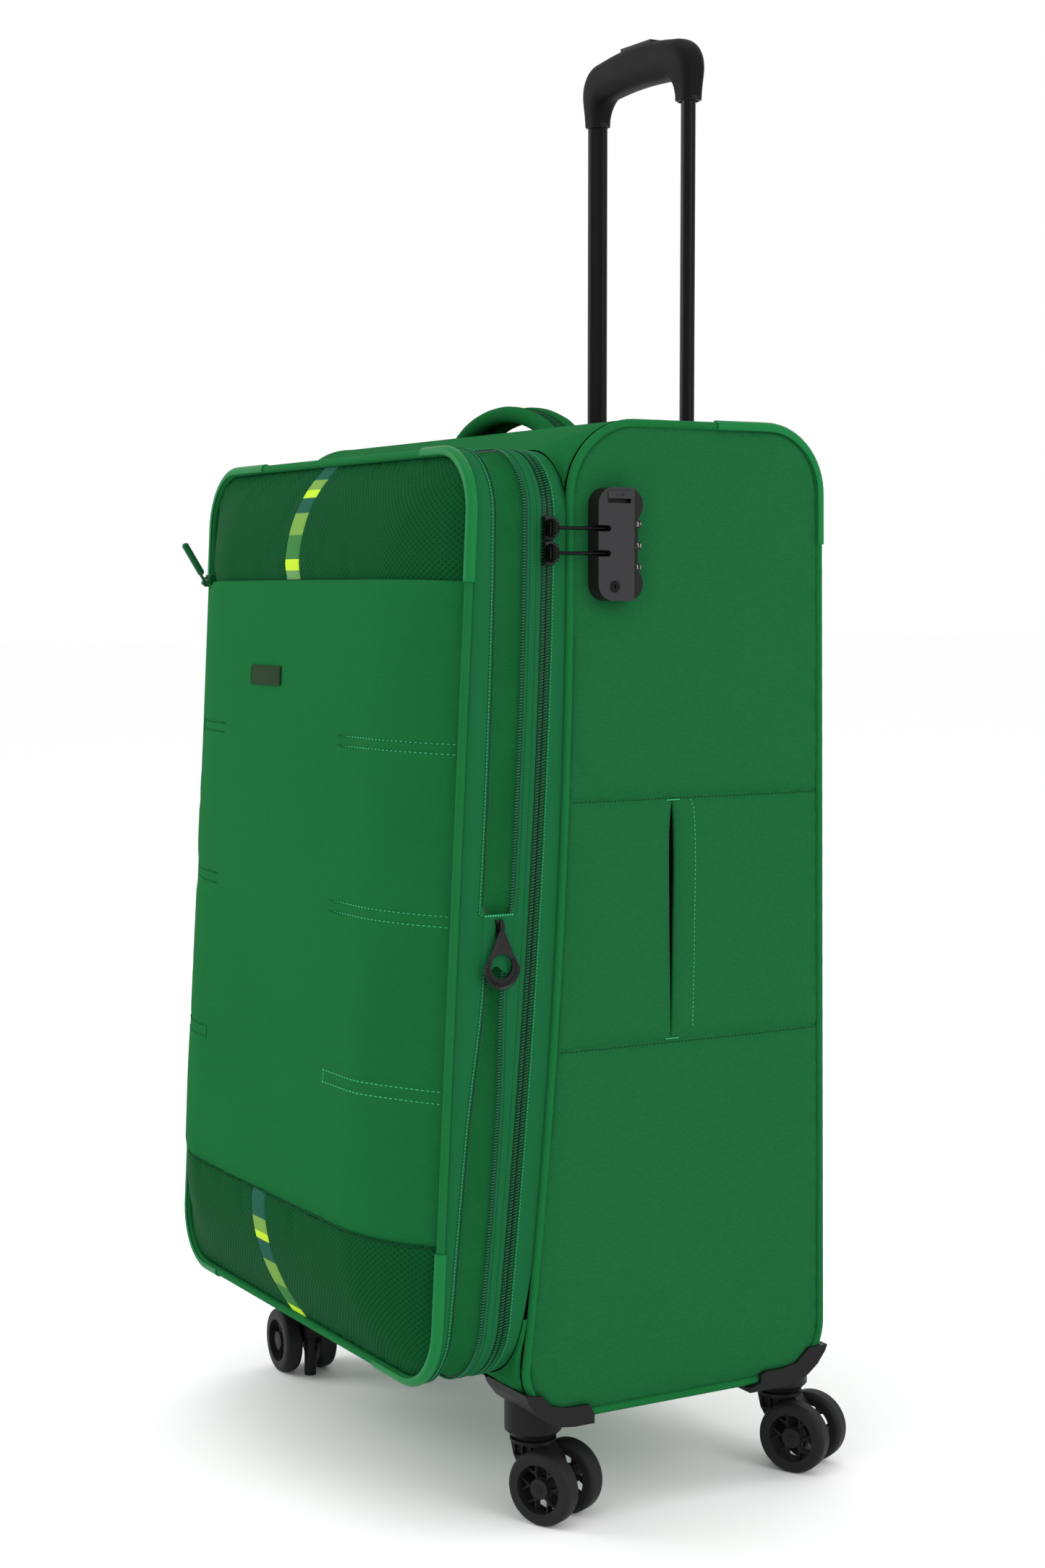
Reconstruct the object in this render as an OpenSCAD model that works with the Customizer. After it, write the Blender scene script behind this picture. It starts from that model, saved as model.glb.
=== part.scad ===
// Soft-sided expandable spinner suitcase with a pull-out trolley handle.
// +Z is up, the front (lid) faces -Y and the lock is on the right side (+X).
// The origin is on the floor, under the centre of the suitcase's footprint.

/* [Shell] */
// Width over the two side panels
body_w = 456; // [440:2:470]
// Height of the shell's underside above the floor
base_z = 78; // [74:1:82]
// Height of the shell's top above the floor
top_z = 790; // [770:5:800]
// Y of the back face
back_y = 160; // [156:1:166]
// Thickness of the padded fabric panels
cloth_t = 3; // [2:0.5:3]
// Thickness of the stiff lining board
board_t = 2; // [1.5:0.5:2]
// Width of the round cord sewn round each side panel
cord_w = 6; // [5:0.5:6]

/* [Lid] */
// Height of the lid's lower edge above the floor
lid_low_z = 108; // [106:1:112]
// Height of the lid's upper edge above the floor
lid_top_z = 769; // [765:1:770]
// Corner radius of the lid's outline
lid_r = 48; // [42:1:50]
// Width of the fabric band between the main zip and the expansion zip
rear_band_w = 15.5; // [14:0.5:16]
// Width of the open expansion gusset
gusset_w = 20.4; // [16:0.2:21]
// How far the padded front stands out of its piping, at the top
bulge_top = 30; // [24:1:32]
// How far the padded front stands out of its piping, at the bottom
bulge_low = 37; // [30:1:38]
// Height of the pocket's upper edge above the floor
pocket_z = 676; // [660:1:690]
// Height of the lower dark panel's seam above the floor
foot_seam_z = 214; // [200:1:230]

/* [Trolley handle] */
// Distance from the centre to each tube
tube_x = 67; // [64:1:70]
// Y of the tubes
tube_y = 146.5; // [145:0.5:147]
// Angle of each tube's long side to the X axis
tube_turn = 30; // [20:1:35]
// Height of the grip's lower edge when the handle is pulled out
grip_z = 1051; // [1000:1:1060]
// Height of the grip
grip_h = 54; // [50:1:56]
// Travel of the handle
trolley_travel = 300; // [280:1:300]

/* [Casters] */
// Wheel diameter
wheel_d = 54; // [50:1:55]
// Width of one wheel
wheel_w = 15; // [13:0.5:15]
// Distance between the middles of a caster's two wheels
wheel_gap = 31.5; // [31:0.5:33]
// Distance from the swivel axis to the wheel axle
trail = 20; // [18:1:22]
// X of the swivel axes
stem_x = 189; // [186:1:190]
// Y of the front swivel axes
stem_front_y = -65; // [-67:1:-64]
// Y of the rear swivel axes
stem_rear_y = 155; // [152:1:155]

/* [Hidden] */

fabric = "#1f6b3a";
dark_fabric = "#184d2b";
zip_green = "#1f7a55";
gloss_green = "#1d8a44";
black = "#202022";
steel = "#8d9094";

$fn = 32;
far = 400;

half_w = body_w / 2;
r_low = 40;
r_back = 50;
r_front = 56;
low_z = base_z + r_low;
front_arc_z = top_z - r_front;
front_arc_y = -4;
front_top_y = front_arc_y - r_front;
zip_top_y = -75;
zip_steps = [for (i = [0:8]) 40 + i * 100];

// Y of the main zip at a height: it leans back towards the top in a slight bow
function zip_y(z) = zip_top_y - 36 * pow(max(0, 740 - z) / 590, 1.7);

// Y of the side panels' front edge at a height
function front_y(z) = front_top_y - 35.5 * pow(max(0, front_arc_z - z) / 616, 2.1);

function arc(cy, cz, r, a0, a1, n = 6) =
  [for (i = [0:n]) let (a = a0 + (a1 - a0) * i / n) [cy + r * cos(a), cz + r * sin(a)]];

// Side view of the shell as points (Y, Z), drawn d inside its outer face
function side_outline(d) = concat(
  arc(front_y(low_z) + r_low, low_z, r_low - d, 180, 270),
  arc(back_y + 8 - r_low, low_z, r_low - d, 270, 360),
  arc(back_y - r_back, top_z - r_back, r_back - d, 0, 90),
  arc(front_arc_y, front_arc_z, r_front - d, 90, 180),
  [for (z = [front_arc_z - 80 : -80 : low_z + 40]) [front_y(z) + d, z]]);

// Front view of the lid and the zips as points (X, Z), drawn d inside the outer edge
function lid_outline(d, x0 = 226, z0 = lid_low_z, z1 = lid_top_z) = concat(
  arc(x0 - lid_r, z0 + lid_r, lid_r - d, 270, 360),
  arc(x0 - lid_r, z1 - lid_r, lid_r - d, 0, 90),
  arc(lid_r - x0, z1 - lid_r, lid_r - d, 90, 180),
  arc(lid_r - x0, z0 + lid_r, lid_r - d, 180, 270));

// A (Y, Z) drawing run along X, and an (X, Z) drawing run along Y
module along_x(x0, x1) translate([x0, 0, 0]) rotate([90, 0, 90]) linear_extrude(x1 - x0) children();
module along_y(y0, y1) translate([0, y1, 0]) rotate([90, 0, 0]) linear_extrude(y1 - y0) children();
module both_sides() { children(); mirror([1, 0, 0]) children(); }
module side_shape(d) polygon(side_outline(d));

// A box given by its low and high corners
module block(lo, hi) translate(lo) cube(hi - lo);

// An oval tube section: a is half its length, b half its width
module oval(a, b) {
  translate([b - a, -b]) square([2 * (a - b), 2 * b]);
  translate([b - a, 0]) circle(b);
  translate([a - b, 0]) circle(b);
}

module tube_pair(z0, z1) both_sides()
  translate([-tube_x, tube_y, z0]) rotate([0, 0, tube_turn]) linear_extrude(z1 - z0) children();

// ---------------------------------------------------------------- shell

grip_slot_y = 28;
grip_slot_z = [346, 519];

module side_panel(slot) {
  color(fabric) along_x(half_w - cloth_t - 0.5, half_w) difference() {
    side_shape(cord_w + 0.2);
    if (slot) translate([grip_slot_y - 4, grip_slot_z[0]]) square([8, grip_slot_z[1] - grip_slot_z[0]]);
  }
}
module side_panel_right() side_panel(true);
module side_panel_left() mirror([1, 0, 0]) side_panel(false);

panel_x = half_w - cord_w - 0.2;
loft_back_top = front_arc_y;
loft_back_low = -55;
loft_front_top = zip_y(lid_top_z) + 15;
loft_front_low = zip_y(132) + 15;

// The wrap's rounded front: from the lid's outline back to the square section of the shell
module top_loft(d, more = 0) hull() {
  along_y(loft_front_top - more, loft_front_top - more + 0.1) intersection() {
    polygon(lid_outline(d, z1 = lid_top_z + 1));
    translate([-far, 600]) square([2 * far, far]);
  }
  along_y(loft_back_top + more - 0.1, loft_back_top + more)
    translate([d - half_w, 600]) square([body_w - 2 * d, top_z - d - 600]);
}
module low_loft(d, more = 0) hull() {
  along_y(loft_front_low - more, loft_front_low - more + 0.1) intersection() {
    polygon(lid_outline(d));
    translate([-far, 0]) square([2 * far, 250]);
  }
  along_y(loft_back_low + more - 0.1, loft_back_low + more)
    translate([d - half_w, base_z + d]) square([body_w - 2 * d, 250 - base_z - d]);
}

cup_x = 92;
cup_y = 127;
cup_z = 743;

module top_panel() color(fabric) {
  difference() {
    along_x(-panel_x, panel_x) intersection() {
      difference() { side_shape(0); side_shape(cloth_t); }
      translate([front_arc_y, top_z - r_back + 1]) square(far);
    }
    block([-cup_x - 0.2, cup_y - 0.2, cup_z - 0.2], [cup_x + 0.2, far, far * 2.1]);
  }
  intersection() {
    difference() { top_loft(0); top_loft(cloth_t, 0.5); }
    block([-panel_x, -far, 738], [panel_x, far, far * 2]);
  }
}
module back_panel() color(fabric) along_x(-panel_x, panel_x) intersection() {
  difference() { side_shape(0); side_shape(cloth_t); }
  translate([100, low_z + 0.2]) square([far, top_z - r_back - low_z - 0.4]);
}
module bottom_panel() color(dark_fabric) {
  along_x(-panel_x, panel_x) intersection() {
    difference() { side_shape(0); side_shape(cloth_t); }
    translate([loft_back_low, 0]) square([far, low_z]);
  }
  intersection() {
    difference() { low_loft(0); low_loft(cloth_t, 0.5); }
    block([-panel_x, -far, 0], [panel_x, far, 132]);
  }
}
module side_piping() color(gloss_green) both_sides()
  along_x(half_w - cord_w, half_w + 0.6) difference() { side_shape(0); side_shape(cord_w); }

// Hard covers that snap over the piping on the two upper rear corners
module rear_corner_guards() color(gloss_green) both_sides() {
  along_x(half_w - cord_w, half_w + 1.8) intersection() {
    difference() { side_shape(-1.2); side_shape(0); }
    translate([64.5, 702]) square(far);
  }
  along_x(half_w + 0.6, half_w + 1.8) intersection() {
    difference() { side_shape(0); side_shape(cord_w); }
    translate([64.5, 702]) square(far);
  }
}

liner_x = 224;
liner_d = 8;
liner_front = -52;
liner_back = 136;
pocket_x = 198;

module liner_shape(d) intersection() {
  side_shape(liner_d + d);
  translate([liner_front - d * far, 0]) square([liner_back - d - liner_front + d * far, far * 2]);
}
// Lining board: an open tray with a sunk pocket behind the side grip slot
module shell_liner() color("#3a3d3c") difference() {
  union() {
    difference() {
      along_x(-liner_x, liner_x) liner_shape(0);
      along_x(board_t - liner_x, liner_x - board_t) liner_shape(board_t);
    }
    block([pocket_x - board_t, 4, grip_slot_z[0] - 6], [liner_x, 74, grip_slot_z[1] + 6]);
  }
  block([pocket_x, 6, grip_slot_z[0] - 4], [liner_x + 1, 72, grip_slot_z[1] + 4]);
  block([-cup_x - 1, cup_y - 1, cup_z - 1], [cup_x + 1, far, far * 2]);
  both_sides() block([205, -far, 736], [far, -8, far * 2]);
  block([board_t - liner_x, -far, 100], [liner_x - board_t, -30, far * 2]);
}

// A ring that follows the lid's outline between two lines of the side view
module ring(front, back, d0, d1) intersection() {
  along_x(-far, far) polygon(concat(
    [for (z = zip_steps) [zip_y(z) + front, z]],
    [for (i = [8:-1:0]) [zip_y(zip_steps[i]) + back, zip_steps[i]]]));
  difference() {
    along_y(-far, 0) polygon(lid_outline(d0));
    along_y(-far - 1, 1) polygon(lid_outline(d1));
  }
}
module main_zip_shell_half() color(zip_green) ring(0.4, 14.6, 0, 2.2);

sleeve_a = 9.9;
sleeve_b = 7.2;
inner_a = 8.4;
inner_b = 5.7;
run_gap = 0.15;
sleeve_low = 96;

module outer_tubes() color(steel) tube_pair(sleeve_low, cup_z) difference() {
  oval(sleeve_a, sleeve_b);
  oval(inner_a + run_gap, inner_b + run_gap);
}
// Recess that takes the grip when the handle is pushed down
module tube_cup() color(black) difference() {
  intersection() {
    block([-cup_x, cup_y, cup_z], [cup_x, far, far * 2]);
    along_x(-far, far) side_shape(0);
  }
  block([3 - cup_x, cup_y + 3, cup_z + 5], [cup_x - 3, far, far * 2]);
  tube_pair(cup_z - 1, cup_z + 6) oval(inner_a + 0.3, inner_b + 0.3);
}
module tube_foot() color(black) difference() {
  along_x(-94, 94) intersection() {
    side_shape(cloth_t + 0.6);
    translate([liner_back + 0.3, base_z]) square([far, 34]);
  }
  tube_pair(sleeve_low, base_z + 40) oval(sleeve_a + 0.05, sleeve_b + 0.05);
}

handle_y = 29.5;
handle_w = 35;
handle_r = 152;
handle_t = 14;
handle_top = 814;

module carry_handle() color(fabric) intersection() {
  translate([0, handle_y, handle_top - handle_r]) rotate([90, 0, 0])
    rotate_extrude($fn = 96) translate([handle_r - handle_t, -handle_w / 2]) square([handle_t, handle_w]);
  block([-far, 0, top_z + 0.1], [far, far, far * 3]);
}
module packing_straps() color(dark_fabric) {
  for (s = [-1, 1]) translate([s * 116, 0, 0])
    block([-88, liner_back - board_t - 2, 425], [88, liner_back - board_t - 0.2, 455]);
  color(black) block([-27.8, liner_back - board_t - 7, 420], [27.8, liner_back - board_t - 0.2, 460]);
}

// ---------------------------------------------------------------- casters

housing_low = 57;
housing_r = 21;
stem_r = 5;
guard_t = 4;
axle_z = wheel_d / 2;
corners = [[stem_x, stem_front_y], [-stem_x, stem_front_y], [stem_x, stem_rear_y], [-stem_x, stem_rear_y]];
headings = [25, 176, 29, 160];

module front_bracket_shape() intersection() {
  difference() {
    union() {
      low_loft(-guard_t);
      along_x(-half_w - guard_t, half_w + guard_t) side_shape(-guard_t);
    }
    low_loft(0, 0.3);
    along_x(-half_w - 0.8, half_w + 0.8) side_shape(0);
  }
  along_x(-far, far)
    polygon([[-98, 103], [-82, 100], [-75, 92], [-64, 89], [-43, 88], [-39, 81], [-39, 70], [-98, 70]]);
}
module rear_bracket_shape() intersection() {
  difference() {
    along_x(-half_w - guard_t, half_w + guard_t) side_shape(-guard_t);
    along_x(-half_w - 0.8, half_w + 0.8) side_shape(0);
  }
  along_x(-far, far) polygon([[97, 70], [97, 77], [107, 80], [107, 86], [112, 88], [126, 88],
    [139, 90], [151, 100], [180, 101], [180, 70]]);
}
module caster_housings() color(black) both_sides() difference() {
  union() {
    intersection() {
      union() { front_bracket_shape(); rear_bracket_shape(); }
      block([172, -far, 0], [far, far, far]);
    }
    for (y = [stem_front_y, stem_rear_y]) translate([stem_x, y, 0]) rotate_extrude()
      polygon([[0, housing_low], [15, housing_low], [housing_r, housing_low + 6], [housing_r, 96], [0, 96]]);
  }
  low_loft(0, 0.3);
  along_x(-half_w - 0.8, half_w + 0.8) side_shape(0);
  for (y = [stem_front_y, stem_rear_y]) translate([stem_x, y, 0]) cylinder(h = 75, r = stem_r + 0.05);
}

module at_caster(i) translate([corners[i][0], corners[i][1], 0]) rotate([0, 0, headings[i]]) children();

// Swivel fork: a disc, a stem that runs in the housing, and a rib between the two wheels
module fork(i) color(black) at_caster(i) difference() {
  union() {
    cylinder(h = 72, r = stem_r);
    translate([0, 0, wheel_d + 0.5]) cylinder(h = 2, r = 17);
    rotate([90, 0, 0]) linear_extrude(13, center = true)
      polygon([[-16, 55], [15, 55], [24, 45], [29, axle_z], [26, 20], [14, 20], [4, 26], [-8, 34],
        [-13, 42]]);
    translate([trail, 0, axle_z]) rotate([90, 0, 0]) cylinder(h = 15.4, r = 8.5, center = true);
  }
  translate([trail, 0, axle_z]) rotate([90, 0, 0]) cylinder(h = 20, r = 3.05, center = true);
  for (s = [-1, 1], x = [-9, -2, 5])
    translate([x, s * 6.5, 0]) block([-2.6, -2.5, 37 - x * 0.6], [2.6, 2.5, 50]);
}
module axle(i) color(steel) at_caster(i) translate([trail, 0, axle_z]) rotate([90, 0, 0])
  cylinder(h = wheel_gap + wheel_w - 2, r = 3, center = true);

rim_r = 20;
spoke_count = 6;

module wheel(i, side) color(black) at_caster(i)
  translate([trail, side * wheel_gap / 2, axle_z]) rotate([90, 0, 0]) {
  rotate_extrude($fn = 48) {
    translate([rim_r - 2.2, -wheel_w / 2 + 4]) square([wheel_d / 2 - rim_r + 2.2, wheel_w - 8]);
    translate([rim_r - 2.2, -wheel_w / 2]) square([wheel_d / 2 - rim_r - 1.8, wheel_w]);
    for (s = [-1, 1]) translate([wheel_d / 2 - 4, s * (wheel_w / 2 - 4)]) circle(4);
  }
  difference() {
    linear_extrude(5, center = true) {
      circle(8);
      for (k = [0:spoke_count - 1]) rotate(360 / spoke_count * k) {
        translate([0, -0.9]) square([13, 1.8]);
        for (s = [-1, 1]) translate([10.5, 0]) rotate(s * 32) translate([0, -0.8]) square([9.5, 1.6]);
      }
    }
    cylinder(h = 10, r = 3.06, center = true);
  }
  for (s = [-1, 1]) translate([0, 0, s * 4.4]) difference() {
    cylinder(h = 3.8, r = 7.4, center = true);
    cylinder(h = 10, r = 3.06, center = true);
  }
}

module fork_front_right() fork(0);
module fork_front_left() fork(1);
module fork_rear_right() fork(2);
module fork_rear_left() fork(3);
module axle_front_right() axle(0);
module axle_front_left() axle(1);
module axle_rear_right() axle(2);
module axle_rear_left() axle(3);
module wheel_front_right_outer() wheel(0, -1);
module wheel_front_right_inner() wheel(0, 1);
module wheel_front_left_outer() wheel(1, -1);
module wheel_front_left_inner() wheel(1, 1);
module wheel_rear_right_outer() wheel(2, -1);
module wheel_rear_right_inner() wheel(2, 1);
module wheel_rear_left_outer() wheel(3, -1);
module wheel_rear_left_inner() wheel(3, 1);

// ---------------------------------------------------------------- trolley handle

tube_in_grip = 22;
inner_low = 640;
grip_d = 27;
grip_top = grip_z + grip_h;
arm_out = tube_x + 13;
arm_in = tube_x - 10;
bar_low = grip_z + 19;
button_x = 22;
button_w = 13;

module grip_outline() difference() {
  intersection() {
    polygon([[-tube_x - 10, grip_z], [-arm_out, grip_z + 26], [-arm_out, grip_top + 9],
      [arm_out, grip_top + 9], [arm_out, grip_z + 26], [tube_x + 10, grip_z]]);
    translate([0, grip_top - 320]) circle(320, $fn = 160);
  }
  translate([-arm_in + 12, grip_z - 1]) square([2 * arm_in - 24, bar_low - grip_z + 1]);
  translate([-arm_in, grip_z - 1]) square([2 * arm_in, bar_low - grip_z - 11]);
  for (s = [-1, 1]) translate([s * (arm_in - 12), bar_low - 12]) circle(12);
  for (s = [-1, 1]) difference() {
    translate([s * (arm_out - 7), grip_top - 6]) square([16, 22], center = true);
    translate([s * (arm_out - 16), grip_top - 21]) circle(16);
  }
}
module trolley_grip() color(black) difference() {
  along_y(tube_y - grip_d / 2, tube_y + grip_d / 2) grip_outline();
  tube_pair(grip_z - 1, grip_z + tube_in_grip) oval(inner_a + 0.05, inner_b + 0.05);
  block([-button_x - 0.2, tube_y - button_w / 2 - 0.2, grip_top - 16],
    [button_x + 0.2, tube_y + button_w / 2 + 0.2, grip_top + 5]);
}
module grip_button() color("#303033")
  block([-button_x, tube_y - button_w / 2, grip_top - 8], [button_x, tube_y + button_w / 2, grip_top + 0.8]);
module button_spring() color(steel) translate([0, tube_y, grip_top - 16]) difference() {
  cylinder(h = 7.9, r = 4);
  translate([0, 0, -1]) cylinder(h = 10, r = 3);
}
module inner_tubes() color(black) tube_pair(inner_low, grip_z + tube_in_grip) difference() {
  oval(inner_a, inner_b);
  oval(inner_a - 1.3, inner_b - 1.3);
}
module release_rods() color(steel) both_sides()
  translate([-tube_x, tube_y, inner_low + 6]) cylinder(h = grip_z - inner_low, r = 2);

// ---------------------------------------------------------------- lid

rear_exp = -rear_band_w;
coil_w = 3.2;
front_exp = rear_exp - coil_w - gusset_w - coil_w;
pipe_r = 3.3;
pipe_x = 221.5;
pipe_mid_z = 440;
pipe_mid_y = -146.7;
lid_lean = 2.86;

module hinge_strip() color(fabric) intersection() {
  along_x(-half_w - 1, -half_w + 1) polygon(concat(
    [for (z = zip_steps) [zip_y(z) - 8, z]],
    [for (i = [8:-1:0]) [zip_y(zip_steps[i]) + 12, zip_steps[i]]]));
  block([-far, -far, 170], [0, far, 700]);
}
module rear_band() color(fabric) {
  ring(rear_exp, -6, 0, 2.5);
  color(zip_green) ring(-6, -0.4, 0, 2.2);
}
exp_pull_z = 437;
exp_pull_y = zip_y(exp_pull_z) - 28;

module rear_expansion_zip() color(zip_green) {
  ring(rear_exp - coil_w, rear_exp, 0.6, 3.6);
  color(black) translate([0, exp_pull_y, exp_pull_z]) {
    difference() {
      block([226.4, -5, -9], [231, 5, 10]);
      block([227.8, -3.4, -10], [232, 3.4, 11]);
    }
    translate([230, 0, -3]) rotate([90, 0, 0]) cylinder(h = 9, r = 0.9, center = true);
  }
}
// Ring puller that hangs from the expansion slider
module expansion_puller() color(black) translate([230, exp_pull_y, exp_pull_z - 3]) difference() {
  union() {
    rotate([90, 0, 0]) cylinder(h = 6, r = 2, center = true);
    block([-0.8, -3, -10], [1.2, 3, 0]);
    block([-0.8, -12, -38], [1.2, 12, -9]);
  }
  rotate([90, 0, 0]) cylinder(h = 8, r = 0.96, center = true);
  translate([0, 0, -22]) rotate([0, 90, 0]) cylinder(h = 10, r = 8.5, center = true);
}
module expansion_gusset() color(fabric) ring(rear_exp - coil_w - gusset_w, rear_exp - coil_w, 4, 5.2);
module front_expansion_zip() color(zip_green) ring(front_exp, front_exp + coil_w, 0.6, 3.6);

// The lid's piping lies in a plane that leans back; this frame has it at Y = 0
module on_lid() translate([0, pipe_mid_y, pipe_mid_z]) rotate([-lid_lean, 0, 0]) children();
lid_z0 = (lid_low_z + pipe_r - pipe_mid_z) / cos(lid_lean);
lid_z1 = (lid_top_z - pipe_r - pipe_mid_z) / cos(lid_lean);
pipe_corner_r = lid_r - pipe_r;

// Runs a section round the lid's outline: its x points outwards and its y to the front
module lid_corner(i) {
  sx = (i == 0 || i == 3) ? 1 : -1;
  cz = i < 2 ? lid_z1 - pipe_corner_r : lid_z0 + pipe_corner_r;
  translate([sx * (pipe_x - pipe_corner_r), 0, cz]) rotate([90, 0, 0]) rotate([0, 0, 90 * i])
    rotate_extrude(angle = 90) translate([pipe_corner_r, 0]) children();
}
// A straight run that starts where corner i begins (before) or ends (after)
module lid_run(i, len, after) {
  sx = (i == 0 || i == 3) ? 1 : -1;
  cz = i < 2 ? lid_z1 - pipe_corner_r : lid_z0 + pipe_corner_r;
  turn = 90 * (i + (after ? 1 : 0));
  translate([sx * (pipe_x - pipe_corner_r), 0, cz]) rotate([90, 0, 0]) rotate([0, 0, turn])
    translate([pipe_corner_r, after ? len : 0, 0]) rotate([90, 0, 0]) linear_extrude(len) children();
}
module lid_piping() color(gloss_green) on_lid() for (i = [0:3]) {
  lid_corner(i) circle(pipe_r);
  len = i % 2 == 0 ? lid_z1 - lid_z0 - 2 * pipe_corner_r : 2 * (pipe_x - pipe_corner_r);
  lid_run(i, len, false) circle(pipe_r);
}
module guard_section() intersection() {
  difference() { circle(pipe_r + 1.2); circle(pipe_r + 0.05); }
  translate([-2, -1]) square([10, 10]);
}
module lid_corner_guards() color(gloss_green) on_lid() for (i = [0:3]) {
  lid_corner(i) guard_section();
  lid_run(i, 44, false) guard_section();
  lid_run(i, 44, true) guard_section();
}
module front_band() color(fabric) intersection() {
  along_x(-far, far) polygon(concat(
    [for (z = zip_steps) [zip_y(z) + front_exp, z]],
    [[pipe_mid_y + (840 - pipe_mid_z) * tan(lid_lean) + pipe_r + 0.1, 840],
     [pipe_mid_y + (40 - pipe_mid_z) * tan(lid_lean) + pipe_r + 0.1, 40]]));
  difference() {
    along_y(-far, 0) polygon(lid_outline(0.4));
    along_y(-far - 1, 1) polygon(lid_outline(2.9));
  }
}

// The padded front, as a stack of outlines: how far each is inset, and how far it stands out
pillow = [[5, -3], [26, 11], [50, 21]];
pillow_flat = 84;
bulge_lean = atan((bulge_low - bulge_top) / 470);

module front_plate(e, r) polygon(lid_outline(0, x0 = pipe_x - e, z0 = lid_z0 + e, z1 = lid_z1 - e));
module dome() hull() {
  for (p = pillow) along_y(-p[1], 0.4 - p[1]) front_plate(p[0]);
  translate([0, -(bulge_top + bulge_low) / 2, 0]) rotate([-bulge_lean, 0, 0]) along_y(0, 0.4)
    polygon(lid_outline(0, x0 = pipe_x - pillow_flat, z0 = lid_z0 + pillow_flat, z1 = lid_z1 - pillow_flat));
}
module skin(t) difference() { translate([0, -t, 0]) dome(); dome(); }
module padded_skin() difference() { dome(); translate([0, 3, 0]) dome(); }
seam_hi = pocket_z - pipe_mid_z;
seam_lo = foot_seam_z - pipe_mid_z;

module lid_front_panel() color(fabric) on_lid() intersection() {
  padded_skin();
  block([-far, -far, seam_lo], [far, far, seam_hi]);
}
module lid_end_panels() color(dark_fabric) on_lid() difference() {
  padded_skin();
  block([-far, -far, seam_lo - 0.1], [far, far, seam_hi + 0.1]);
}
module lid_liner() color("#3a3d3c") on_lid() along_y(3.4, 4.9) front_plate(6);
// Ribbons down the two dark panels, and a plain badge
module front_trim() color("#b9d53c") on_lid() {
  intersection() {
    skin(0.8);
    union() {
      block([-11.5, -far, seam_hi + 6], [11.5, far, 318]);
      block([-11.5, -far, -316], [11.5, far, seam_lo - 4]);
    }
  }
  color(black) translate([-29, -(bulge_top + bulge_low) / 2, 0]) rotate([-bulge_lean, 0, 0])
    block([-27, -1.6, 157.5], [27, -0.05, 172.5]);
}
pull_x = -188;
pull_out = 17;
// The pocket pull stands up and out of the seam: degrees turned from hanging straight down
pocket_pull_tilt = 147;
module pocket_zip() color(dark_fabric) on_lid() {
  intersection() {
    skin(1.2);
    block([-202, -far, seam_hi - 6], [202, far, seam_hi + 4]);
  }
  color(black) translate([pull_x, -pull_out, seam_hi - 1]) difference() {
    block([-4, -6, -5], [4, 1.2, 5]);
    block([-2.4, -7, -6], [2.4, -2.6, 6]);
  }
  color(black) translate([pull_x, -pull_out - 4.8, seam_hi - 1]) rotate([0, 90, 0])
    cylinder(h = 7, r = 0.7, center = true);
}
module pocket_puller() color(dark_fabric) on_lid()
  translate([pull_x, -pull_out - 4.8, seam_hi - 1]) rotate([-pocket_pull_tilt, 0, 0]) difference() {
  union() {
    rotate([0, 90, 0]) cylinder(h = 4, r = 1.9, center = true);
    block([-1.5, -1.9, -8], [1.5, -0.1, 0]);
    translate([0, -2.1, -38]) cylinder(h = 31, r = 2.8);
  }
  rotate([0, 90, 0]) cylinder(h = 6, r = 0.76, center = true);
}

// ---------------------------------------------------------------- lock and zip sliders

lock_y = [-43.5, -5];
lock_z = [662, 741];
lock_r = 12;
lock_face_x = half_w + 14;
dial_z = [715.6, 700.6, 685.6];
dial_x = half_w + 8.4;
dial_y = -11.2;
dial_r = 5.3;
pull_z = [712.4, 695];
pull_rod_x = half_w + 9;
key_y = -30;
key_z = 672;

module lock_outline() {
  translate([lock_y[0], lock_z[0] + lock_r]) square([34.5, lock_z[1] - lock_z[0] - 2 * lock_r]);
  translate([lock_y[0] + lock_r, lock_z[0]]) square([14, lock_z[1] - lock_z[0]]);
  for (y = [lock_y[0] + lock_r, lock_y[1] - lock_r], z = [lock_z[0] + lock_r, lock_z[1] - lock_r])
    translate([y, z]) circle(lock_r);
}
module lock_body() color(black) difference() {
  union() {
    along_x(half_w, lock_face_x - 3) lock_outline();
    along_x(lock_face_x - 3.5, lock_face_x) intersection() {
      lock_outline();
      translate([-60, 600]) square([46, 200]);
    }
  }
  for (z = dial_z) translate([dial_x, dial_y, z]) difference() {
    cylinder(h = 6, r = dial_r + 0.5, center = true);
    cylinder(h = 8, r = 1.5, center = true);
  }
  for (z = dial_z) block([dial_x - 1, dial_y + 3, z - 3], [lock_face_x, 0, z + 3]);
  for (z = pull_z) {
    block([half_w + 6, lock_y[0] - 1, z - 2.2], [half_w + 20, lock_y[0] + 8, z + 2.2]);
    translate([half_w + 6, lock_y[0] + 8, z]) rotate([0, 90, 0]) cylinder(h = 20, r = 2.2);
  }
  translate([lock_face_x - 8, key_y, key_z]) rotate([0, 90, 0]) cylinder(h = 10, r = 4.08);
  block([lock_face_x - 4, -36, 730], [lock_face_x + 1, -17, 738.5]);
}
module lock_dial(z) color("#2b2b2e") translate([dial_x, dial_y, z]) difference() {
  cylinder(h = 5.4, r = dial_r, center = true);
  cylinder(h = 8, r = 1.56, center = true);
}
module lock_dial_top() lock_dial(dial_z[0]);
module lock_dial_middle() lock_dial(dial_z[1]);
module lock_dial_bottom() lock_dial(dial_z[2]);
module lock_key_plug() color(steel)
  translate([lock_face_x - 8, key_y, key_z]) rotate([0, 90, 0]) difference() {
  cylinder(h = 8.4, r = 4);
  translate([-1.6, -0.5, 4]) cube([3.2, 1, 6]);
}
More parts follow.
